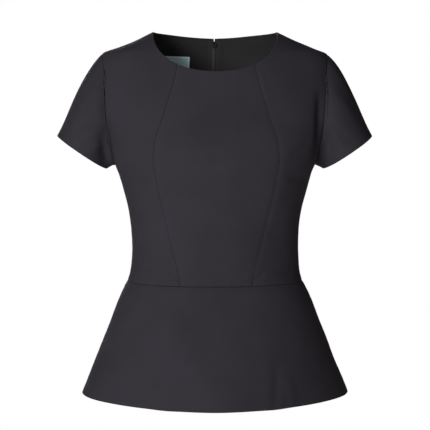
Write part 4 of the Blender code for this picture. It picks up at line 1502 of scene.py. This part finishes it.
@dataclass
class Sleeves:
    """The two short set-in sleeves."""

    finish: bpy.types.Material
    bodice: Bodice
    hem_outer: tuple[float, float, float] = (0.2585, 0.0, -0.169)
    hem_inner: tuple[float, float, float] = (0.1785, 0.0, -0.2235)
    hem_half_depth: float = 0.058
    start_at_tip: tuple[float, float, float] = (0.108, 0.0, -0.104)
    start_at_side: tuple[float, float, float] = (0.070, 0.040, -0.034)
    start_at_underarm: tuple[float, float, float] = (0.016, 0.0, -0.006)
    end_at_tip: tuple[float, float, float] = (0.075, 0.0, -0.130)
    end_at_side: tuple[float, float, float] = (0.034, 0.0, -0.066)
    end_at_underarm: tuple[float, float, float] = (0.014, 0.0, -0.009)
    columns: int = 120
    rows: int = 60
    cap_allowance: float = 0.009
    hem_allowance: float = 0.022
    turn_from_body: float = 0.014
    crease_clear: float = 0.012
    normal_step: float = 0.001
    left_creases: tuple[Crease, ...] = (
        Crease((112.0, 0.02), (100.0, 0.45), (74.0, 0.92), 0.0030, 0.0090),
        Crease((106.0, 0.10), (128.0, 0.22), (160.0, 0.50), 0.0050, 0.0110),
        Crease((70.0, 0.04), (62.0, 0.45), (52.0, 0.90), -0.0016, 0.0100),
        Crease((262.0, 0.05), (268.0, 0.45), (286.0, 0.90), 0.0026, 0.0090),
        Crease((318.0, 0.10), (312.0, 0.45), (306.0, 0.90), -0.0012, 0.0100),
    )
    right_creases: tuple[Crease, ...] = (
        Crease((104.0, 0.03), (88.0, 0.40), (66.0, 0.80), 0.0034, 0.0085),
        Crease((112.0, 0.10), (132.0, 0.24), (160.0, 0.50), 0.0046, 0.0110),
        Crease((62.0, 0.08), (54.0, 0.45), (44.0, 0.85), -0.0016, 0.0090),
        Crease((128.0, 0.08), (120.0, 0.50), (108.0, 0.95), -0.0014, 0.0070),
        Crease((258.0, 0.05), (270.0, 0.50), (282.0, 0.92), 0.0028, 0.0090),
        Crease((300.0, 0.05), (304.0, 0.45), (318.0, 0.85), -0.0012, 0.0100),
    )

    def around(self, angle: Array) -> tuple[Array, Array]:
        """The share of the way down the armhole that an angle round it reaches, and whether it is behind."""
        behind = angle > math.pi
        return np.where(behind, 2.0 * math.pi - angle, angle) / math.pi, behind

    def armhole(self, angle: Array) -> tuple[Array, Array]:
        """The armhole's points and the bodice's normals there.

        Args:
            angle: angles round the armhole.

        Returns:
            The points and the normals.
        """
        share, behind = self.around(angle)
        front, back = PATTERN.armhole_at(share, False), PATTERN.armhole_at(share, True)
        places = np.where(behind[:, None], back, front)
        step = self.normal_step
        around = BODICE.lift(places + (step, 0.0)) - BODICE.lift(places - (step, 0.0))
        upward = BODICE.lift(places + (0.0, step)) - BODICE.lift(places - (0.0, step))
        return BODICE.lift(places), unit(np.cross(around, upward))

    def blend(self, angle: Array, at_tip: Sequence, at_side: Sequence, at_underarm: Sequence) -> Array:
        """Mixes three directions round the sleeve.

        Args:
            angle: angles round the sleeve.
            at_tip: the direction at the shoulder tip.
            at_side: the direction behind, half way down. In front it leans forward.
            at_underarm: the direction at the underarm.

        Returns:
            A direction for each angle.
        """
        share, behind = self.around(angle)
        turn = (share * math.pi)[:, None]
        lean = np.array(at_side) * np.where(behind, 1.0, -1.0)[:, None] ** np.array((0.0, 1.0, 0.0))
        mixed = np.array(at_tip) * np.clip(np.cos(turn), 0.0, None) ** 2
        mixed = mixed + np.array(at_underarm) * np.clip(-np.cos(turn), 0.0, None) ** 2
        return mixed + lean * np.sin(turn) ** 2

    def lift(self, places: Array) -> Array:
        """Points of the left sleeve.

        Args:
            places: angles in degrees round the sleeve and shares of the way to its hem, in the last axis.

        Returns:
            The points.
        """
        flat = places.reshape(-1, 2)
        angle, along = np.radians(flat[:, 0]), flat[:, 1][:, None]
        share, behind = self.around(angle)
        start, _ = self.armhole(angle)
        outer, inner = np.array(self.hem_outer), np.array(self.hem_inner)
        turn = (share * math.pi)[:, None]
        back = np.array((0.0, self.hem_half_depth, 0.0))
        depth = np.where(behind, 1.0, -1.0)[:, None] * back * np.sin(turn)
        end = (outer + inner) / 2.0 + (outer - inner) / 2.0 * np.cos(turn) + depth
        points = start + (end - start) * ease(along)
        points = points + along * (1.0 - along) ** 2 * self.blend(
            angle, self.start_at_tip, self.start_at_side, self.start_at_underarm
        )
        points = points + along * along * (along - 1.0) * self.blend(
            angle, self.end_at_tip, self.end_at_side, self.end_at_underarm
        )
        return points.reshape(*places.shape[:-1], 3)

    def lay(self, side: Side) -> bpy.types.Object:
        """Lays one sleeve over its form.

        Args:
            side: the wearer's side.

        Returns:
            The sleeve.
        """
        degrees = np.linspace(0.0, 360.0, self.columns + 1)
        grid = np.stack(np.meshgrid(degrees, np.linspace(0.0, 1.0, self.rows + 1)), axis=-1)
        places = MAKE.respace(grid, self.lift, 0)
        mirror = np.array((side.value, 1.0, 1.0))
        base = self.lift(places)
        centre = base.mean(axis=1, keepdims=True)
        own = grid_normals(base, centre, closed=True)
        _, body = self.armhole(np.radians(degrees))
        distance = column_lengths(base) + MAKE.inset
        share = ease(np.clip(distance / self.turn_from_body, 0.0, 1.0)[..., None])
        outward = unit(body[None] * (1.0 - share) + own * share)
        cap, hem = Edge(self.cap_allowance), Edge(self.hem_allowance, sewn=False)
        edges = Edges(cap, hem, Edge(0.0), Edge(0.0))
        moved = self.bodice.shape(base * mirror) + edge_shape(base, edges, closed=True)
        clear = np.clip(distance / self.crease_clear, 0.0, 1.0)
        for crease in self.left_creases if side is Side.LEFT else self.right_creases:
            moved = moved + crease.offset(base, self.lift) * clear
        points = base + outward * moved[..., None] - own * MAKE.thickness / 2.0
        points[:, -1] = points[:, 0]
        points = points * mirror
        normals = grid_normals(points, points.mean(axis=1, keepdims=True), closed=True)
        normals[:, -1] = normals[:, 0]
        piece = CutPiece(points, normals, flat_places(points), edges, closed=True)
        return piece.surface.solid(f"set_in_sleeve_{side.word}", MAKE.thickness)

    def build(self) -> list[bpy.types.Object]:
        """Makes and dresses the two sleeves."""
        made = []
        for side in Side:
            made.append(dress(self.lay(side), self.finish, [f"sleeve_{side.word}"]))
        return made


@dataclass
class Peplum:
    """The flared skirt of the top: one front and two backs."""

    finish: bpy.types.Material
    seam_allowance: float = 0.012
    hem_allowance: float = 0.038
    hem_draw: float = 0.0075
    hem_draw_height: float = 0.042
    ripples: tuple[Crease, ...] = (
        Crease((-0.098, -0.600), (-0.092, -0.570), (-0.090, -0.530), 0.0018, 0.0080),
        Crease((0.086, -0.604), (0.092, -0.570), (0.093, -0.520), 0.0022, 0.0090),
        Crease((0.120, -0.600), (0.118, -0.575), (0.112, -0.545), -0.0014, 0.0080),
        Crease((-0.160, -0.470), (-0.150, -0.450), (-0.132, -0.432), 0.0012, 0.0080),
    )

    def shape(self, base: Array) -> Array:
        """How far the ripples and the drawn-in front hem move points out of the cloth.

        Args:
            base: points on the form.

        Returns:
            Distances in metres.
        """
        low = np.clip((PATTERN.hem + self.hem_draw_height - base[..., 2]) / self.hem_draw_height, 0.0, 1.0)
        forward = np.clip(-base[..., 1] / np.hypot(base[..., 0], base[..., 1]), 0.0, 1.0)
        moved = unevenness(base) - self.hem_draw * low**2 * forward**2
        for crease in self.ripples:
            moved = moved + crease.offset(base, PEPLUM.facing(False))
        return moved

    def lay(self, name: str, node: str, turns: tuple[float, float], edges: Edges) -> bpy.types.Object:
        """Lays and dresses one piece.

        Args:
            name: the piece's name.
            node: the solid that it stands for.
            turns: where on the form it starts and ends.
            edges: what its edges do.

        Returns:
            The piece.
        """
        piece = lay_panel(name, PATTERN.peplum_places(*turns), PEPLUM.lift, edges, self.shape)
        return dress(piece, self.finish, [node])

    def build(self) -> list[bpy.types.Object]:
        """Makes and dresses the three pieces."""
        seam = Edge(self.seam_allowance)
        edges = Edges(seam, Edge(self.hem_allowance, sewn=False), seam, seam)
        made = [self.lay("front_peplum", "peplum_front", (-QUARTER_TURN, QUARTER_TURN), edges)]
        for side in Side:
            turns = (QUARTER_TURN * side.value, math.pi * side.value)
            made.append(self.lay(f"back_peplum_{side.word}", f"peplum_back_{side.word}", turns, edges))
        return made


@dataclass
class BackNeck:
    """What shows inside the back neck: two facings and a plain woven label."""

    finish: bpy.types.Material
    cloth_depth: float = 0.0019
    facing_thickness: float = 0.0008
    beside_zip: float = 0.0126
    top_row: float = 0.06
    bottom_row: float = 3.6
    rows: int = 22
    shoulder_cells: int = 2
    drawn_in: float = 3.0
    panel_rows: int = 22
    panel_columns: int = 12
    neck_columns: int = 7
    label_centre: tuple[float, float] = (-0.066, -0.0445)
    label_width: float = 0.048
    label_rise: float = 0.022
    label_tilt: float = math.radians(-2.0)
    label_thickness: float = 0.0005
    label_depth: float = 0.0034
    label_columns: int = 32
    label_rows: int = 16
    label_row_points: int = 12
    label_row_reach: float = 0.46
    label_row_inset: float = 0.0010
    neck_row_share: float = 0.3
    neck_stitch: ThreadSizes = ThreadSizes(0.0028, 0.0010, 0.00012, 0.00012)
    label_stitch: ThreadSizes = ThreadSizes(0.0022, 0.0008, 0.00010, 0.00010)

    def thin(
        self, name: str, base: Array, depth: float, thickness: float, flats: Array
    ) -> bpy.types.Object:
        """Makes a thin layer under the outer cloth.

        Args:
            name: the layer's name.
            base: a grid of points on the form.
            depth: how far under the form its outer face lies.
            thickness: the layer's thickness.
            flats: where each point lies in the flat cloth.

        Returns:
            The layer.
        """
        normals = grid_normals(base, middle_of(base))
        surface = Surface()
        surface.add(base - normals * (depth + thickness / 2.0), normals, flats)
        return surface.solid(name, thickness)

    def facing_places(self) -> Array:
        """The left facing's grid of places, inside the back panel's own grid."""
        panel = PATTERN.back_places()
        shares = np.linspace(0.0, 1.0, self.rows + 1)
        down = shares * (self.bottom_row - self.top_row) + self.top_row
        across = np.linspace(0.0, 1.0, 3 * self.rows + 1)
        places = []
        for row in down:
            level = row / self.panel_rows * (len(panel) - 1)
            upper, lower = panel[int(level)], panel[int(level) + 1]
            line = upper + (lower - upper) * (level - int(level))
            points = BODICE.lift(line)
            columns = np.linspace(0.0, self.panel_columns, len(line))
            first = float(np.interp(self.beside_zip, points[:, 0], columns))
            drawn_in = self.drawn_in * math.sqrt(row / self.bottom_row)
            last = self.neck_columns + self.shoulder_cells - drawn_in
            wanted = first + (last - first) * across
            places.append(np.stack([np.interp(wanted, columns, line[:, part]) for part in (0, 1)], axis=-1))
        return np.array(places)

    def label_base(self, along: Array, rise: Array) -> Array:
        """Points of the form behind the label.

        Args:
            along: distances along the label from its middle.
            rise: distances up the label from its middle.

        Returns:
            The points.
        """
        cosine, sine = math.cos(self.label_tilt), math.sin(self.label_tilt)
        across = self.label_centre[0] + along * cosine - rise * sine
        height = self.label_centre[1] + along * sine + rise * cosine
        return BODICE.facing(True)(np.stack([across, height], axis=-1))

    def label(self) -> bpy.types.Object:
        """The plain label, sewn on the right facing."""
        half_width, half_rise = self.label_width / 2.0, self.label_rise / 2.0
        along, rise = np.meshgrid(
            np.linspace(-half_width, half_width, self.label_columns + 1),
            np.linspace(half_rise, -half_rise, self.label_rows + 1),
        )
        flats = np.stack([along, rise], axis=-1)
        base = self.label_base(along, rise)
        return self.thin("woven_label", base, self.label_depth, self.label_thickness, flats)

    def sewn_line(self, base: Array, depth: float) -> tuple[Array, Array]:
        """A line of stitches under the cloth.

        Args:
            base: points on the form.
            depth: how far under the form the thread lies.

        Returns:
            The line's points and the way in from each.
        """
        inward = unit(-base * (1.0, 1.0, 0.0))
        return base + inward * depth, inward

    def label_rows_of_stitches(self) -> list[tuple[Array, Array]]:
        """The two short lines of stitches that hold the label's ends."""
        reach = self.label_row_reach
        rise = np.linspace(-reach, reach, self.label_row_points) * self.label_rise
        across = self.label_width / 2.0 - self.label_row_inset
        depth = self.label_depth + self.label_thickness
        bases = [self.label_base(np.full(len(rise), side * across), rise) for side in (-1, 1)]
        return [self.sewn_line(base, depth) for base in bases]

    def neck_row_of_stitches(self, side: Side, places: Array) -> tuple[Array, Array]:
        """The line of stitches along a facing's top edge, under the neck.

        Args:
            side: the wearer's side.
            places: the left facing's grid of places.

        Returns:
            The line's points and the way in from each.
        """
        row = places[0] * (1.0 - self.neck_row_share) + places[1] * self.neck_row_share
        base = BODICE.lift(row[1:-1] * (side.value, 1.0))
        return self.sewn_line(base, self.cloth_depth + self.facing_thickness)

    def build(self, stitches: RepeatedThread, thread: bpy.types.Material) -> list[bpy.types.Object]:
        """Makes and dresses the facings, the label and their stitches.

        Args:
            stitches: what lays a row of stitches.
            thread: the thread's material.

        Returns:
            The cloth pieces.
        """
        made = []
        places = self.facing_places()
        neck_rows = [self.neck_row_of_stitches(side, places) for side in Side]
        neck_sewn = stitches.along("neck_facing_stitches", neck_rows, self.neck_stitch, thread)
        dress(neck_sewn, thread, [])
        label_rows = self.label_rows_of_stitches()
        label_sewn = stitches.along("label_stitches", label_rows, self.label_stitch, thread)
        dress(label_sewn, thread, [])
        for side in Side:
            base = BODICE.lift(places * (side.value, 1.0))
            name, flats = f"neck_facing_{side.word}", flat_places(base)
            facing = self.thin(name, base, self.cloth_depth, self.facing_thickness, flats)
            made.append(dress(facing, self.finish, [f"back_facing_{side.word}"]))
        satin = LabelFinish().build(self.label_width, self.label_rise)
        made.append(dress(self.label(), satin, ["label"]))
        return made


@dataclass
class BackZip:
    """The back zip: its tapes and coil inside, and its slider and pull tab at the top."""

    tape_finish: bpy.types.Material
    metal: bpy.types.Material
    coil_finish: bpy.types.Material
    top: float = -0.0085
    end: float = -0.466
    cloth_depth: float = 0.0019
    tape_thickness: float = 0.0008
    columns: tuple[float, ...] = (
        0.0, 0.0010, 0.0022, 0.0036, 0.0048, 0.0051, 0.0070, 0.0095, 0.0119, 0.0123,
    )
    least_column: float = 0.0001
    rows: int = 170
    middle: tuple[float, float, float] = (0.0, 0.0, -0.24)
    coil_top: float = -0.0200
    coil_end: float = -0.464
    coil_depth: float = 0.0034
    coil_turn: ThreadSizes = ThreadSizes(0.00070, 0.0019, 0.00055, 0.00026, 0.00045)
    split_top: float = 0.00048
    stitch_across: float = 0.0088
    stitch_top: float = -0.012
    stitch_end: float = -0.463
    tape_stitch: ThreadSizes = ThreadSizes(0.0030, 0.0012, 0.00012, 0.00014)

    def on_back(self, across: Array, height: Array) -> Array:
        """Points on the back of the bodice, or of the peplum below the waist.

        Args:
            across: distances from the middle plane.
            height: their heights.

        Returns:
            The points.
        """
        seen = np.stack([across, height], axis=-1)
        below = (height < PATTERN.waist)[..., None]
        above_waist = np.maximum(seen, (-1.0, PATTERN.waist))
        return np.where(below, PEPLUM.facing(True)(seen), BODICE.facing(True)(above_waist))

    def tape(self, side: Side) -> bpy.types.Object:
        """Lays one tape beside the opening.

        Args:
            side: the wearer's side.

        Returns:
            The tape.
        """
        height = np.linspace(self.top, self.end, self.rows + 1)
        inner = np.where(height > self.coil_top, self.split_top, PATTERN.half_gap)[:, None]
        across = np.maximum(np.array(self.columns)[None], inner)
        least = inner + self.least_column * np.arange(1, len(self.columns))
        across[:, 1:] = np.maximum(across[:, 1:], least)
        level = np.broadcast_to(height[:, None], across.shape)
        base = self.on_back(across * side.value, level)
        normals = grid_normals(base, np.array(self.middle))
        flats = np.stack([across, -level], axis=-1)
        surface = Surface()
        surface.add(base - normals * (self.cloth_depth + self.tape_thickness / 2.0), normals, flats)
        return surface.solid(f"zip_tape_strip_{side.word}", self.tape_thickness)

    def line(self, across: float, top: float, end: float, depth: float) -> tuple[Array, Array]:
        """A line down the back under the cloth.

        Args:
            across: its distance from the middle plane.
            top: the height where it starts.
            end: the height where it ends.
            depth: how far under the form it lies.

        Returns:
            The line's points and the way in from each.
        """
        height = np.linspace(top, end, self.rows + 1)
        base = self.on_back(np.full(len(height), across), height)
        inward = np.stack([0.0 * height, -np.gradient(height), np.gradient(base[:, 1])], axis=-1)
        inward = unit(inward * np.sign(-inward[:, 1:2]))
        return base + inward * depth, inward

    def build(self, stitches: RepeatedThread) -> list[bpy.types.Object]:
        """Makes the tapes and the coil, and dresses the metal solids, whose shapes stay.

        Args:
            stitches: what lays a row of stitches.

        Returns:
            The two tapes.
        """
        made = []
        for side in Side:
            made.append(dress(self.tape(side), self.tape_finish, [f"zip_tape_{side.word}"]))
        turns = RepeatedThread("zip_coil_turns", loop=True)
        middle = self.line(0.0, self.coil_top, self.coil_end, self.coil_depth)
        coil = turns.along("zip_coil", [middle], self.coil_turn, self.coil_finish)
        dress(coil, self.coil_finish, [])
        inside = self.cloth_depth + self.tape_thickness
        places = (-self.stitch_across, self.stitch_across)
        rows = [self.line(across, self.stitch_top, self.stitch_end, inside) for across in places]
        sewn = stitches.along("zip_tape_stitches", rows, self.tape_stitch, self.coil_finish)
        dress(sewn, self.coil_finish, [])
        for name in ("zip_slider", "zip_pull_tab"):
            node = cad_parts[name]
            node.data.materials.clear()
            node.data.materials.append(self.metal)
            LOG.info("%s dressed", name)
        return made


class Lamp(NamedTuple):
    """A square soft lamp that points at the top."""

    name: str
    place: tuple[float, float, float]
    size: float
    power: float
    colour: Colour


@dataclass
class Studio:
    """The pale floor, the soft light and the camera."""

    floor_height: float = -2.0
    floor_size: float = 6.0
    floor_shade: Colour = (0.92, 0.92, 0.92)
    floor_roughness: float = 0.9
    floor_glow: float = 0.3
    camera_turn: float = math.radians(1.3)
    camera_distance: float = 2.0
    camera_height: float = -0.16764
    target_height: float = -0.29964
    view_angle: float = math.radians(20.0737)
    paper: Colour = (1.0, 1.0, 1.0)
    ambient: Colour = (0.185, 0.165, 0.165)
    lamps: tuple[Lamp, ...] = (
        Lamp("key", (-1.22, -2.36, 0.12), 0.9, 98.0, (0.95, 0.96, 1.0)),
        Lamp("back_fill", (-0.5, 2.6, 0.5), 1.6, 60.0, (1.0, 1.0, 1.0)),
    )

    def aim(self, thing: bpy.types.Object, place: Vector) -> None:
        """Puts a lamp or a camera in its place and points it at the top's middle.

        Args:
            thing: the lamp or the camera.
            place: where it goes.
        """
        thing.location = place
        way = Vector((0.0, 0.0, self.target_height)) - place
        thing.rotation_euler = way.to_track_quat("-Z", "Y").to_euler()

    def build_floor(self) -> None:
        """A pale floor, well below the top."""
        half = self.floor_size / 2.0
        mesh = bpy.data.meshes.new("studio_floor")
        corners = [(x * half, y * half, self.floor_height) for x, y in ((-1, -1), (1, -1), (1, 1), (-1, 1))]
        mesh.from_pydata(corners, [], [(0, 1, 2, 3)])
        floor = new_object("studio_floor", mesh)
        material, _, shader = new_material("pale_floor")
        shader.inputs["Base Color"].default_value = (*self.floor_shade, 1.0)
        shader.inputs["Roughness"].default_value = self.floor_roughness
        shader.inputs["Emission Color"].default_value = (*self.paper, 1.0)
        shader.inputs["Emission Strength"].default_value = self.floor_glow
        mesh.materials.append(material)

    def build_lights(self) -> None:
        """Soft lamps, and a world that is white paper to the camera and a dim room to the cloth."""
        world = bpy.data.worlds.new("studio_world")
        world.use_nodes = True
        nodes, room = Nodes(world.node_tree), world.node_tree.nodes["Background"]
        room.inputs["Color"].default_value = (*self.ambient, 1.0)
        paper = nodes.add("ShaderNodeBackground", Color=(*self.paper, 1.0), Strength=1.0)
        seen = nodes.add("ShaderNodeLightPath").outputs["Is Camera Ray"]
        both = nodes.add("ShaderNodeMixShader", i0=seen, i1=room.outputs[0], i2=paper.outputs[0])
        nodes.give(world.node_tree.nodes["World Output"].inputs["Surface"], both.outputs[0])
        bpy.context.scene.world = world
        bpy.context.scene.view_settings.view_transform = "Standard"
        for lamp in self.lamps:
            light = bpy.data.lights.new(lamp.name, "AREA")
            light.size, light.energy, light.color = lamp.size, lamp.power, lamp.colour
            self.aim(new_object(lamp.name, light), Vector(lamp.place))

    def build_camera(self) -> None:
        """The camera at the photograph's viewing angle."""
        lens = bpy.data.cameras.new("camera")
        lens.angle = self.view_angle
        camera = new_object("camera", lens)
        across, back = math.sin(self.camera_turn), math.cos(self.camera_turn)
        place = Vector((-across, -back, 0.0)) * self.camera_distance
        place.z = self.camera_height
        self.aim(camera, place)
        bpy.context.scene.camera = camera

    def build(self) -> None:
        """Sets everything up."""
        self.build_floor()
        self.build_lights()
        self.build_camera()


def main() -> None:
    """Builds the top's looks and its studio, in order."""
    finishes = make_finishes()
    Studio().build()
    stitches = RepeatedThread("stitch_row", loop=False)
    bodice = Bodice(finishes.suiting)
    panels = bodice.build()
    sleeves = Sleeves(finishes.suiting, bodice).build()
    peplum = Peplum(finishes.suiting).build()
    neck = BackNeck(finishes.facing).build(stitches, finishes.thread)
    tapes = BackZip(finishes.tape, finishes.metal, finishes.thread).build(stitches)


if __name__ == "__main__":
    logging.basicConfig(level=logging.INFO, format="%(name)s: %(message)s")
    main()
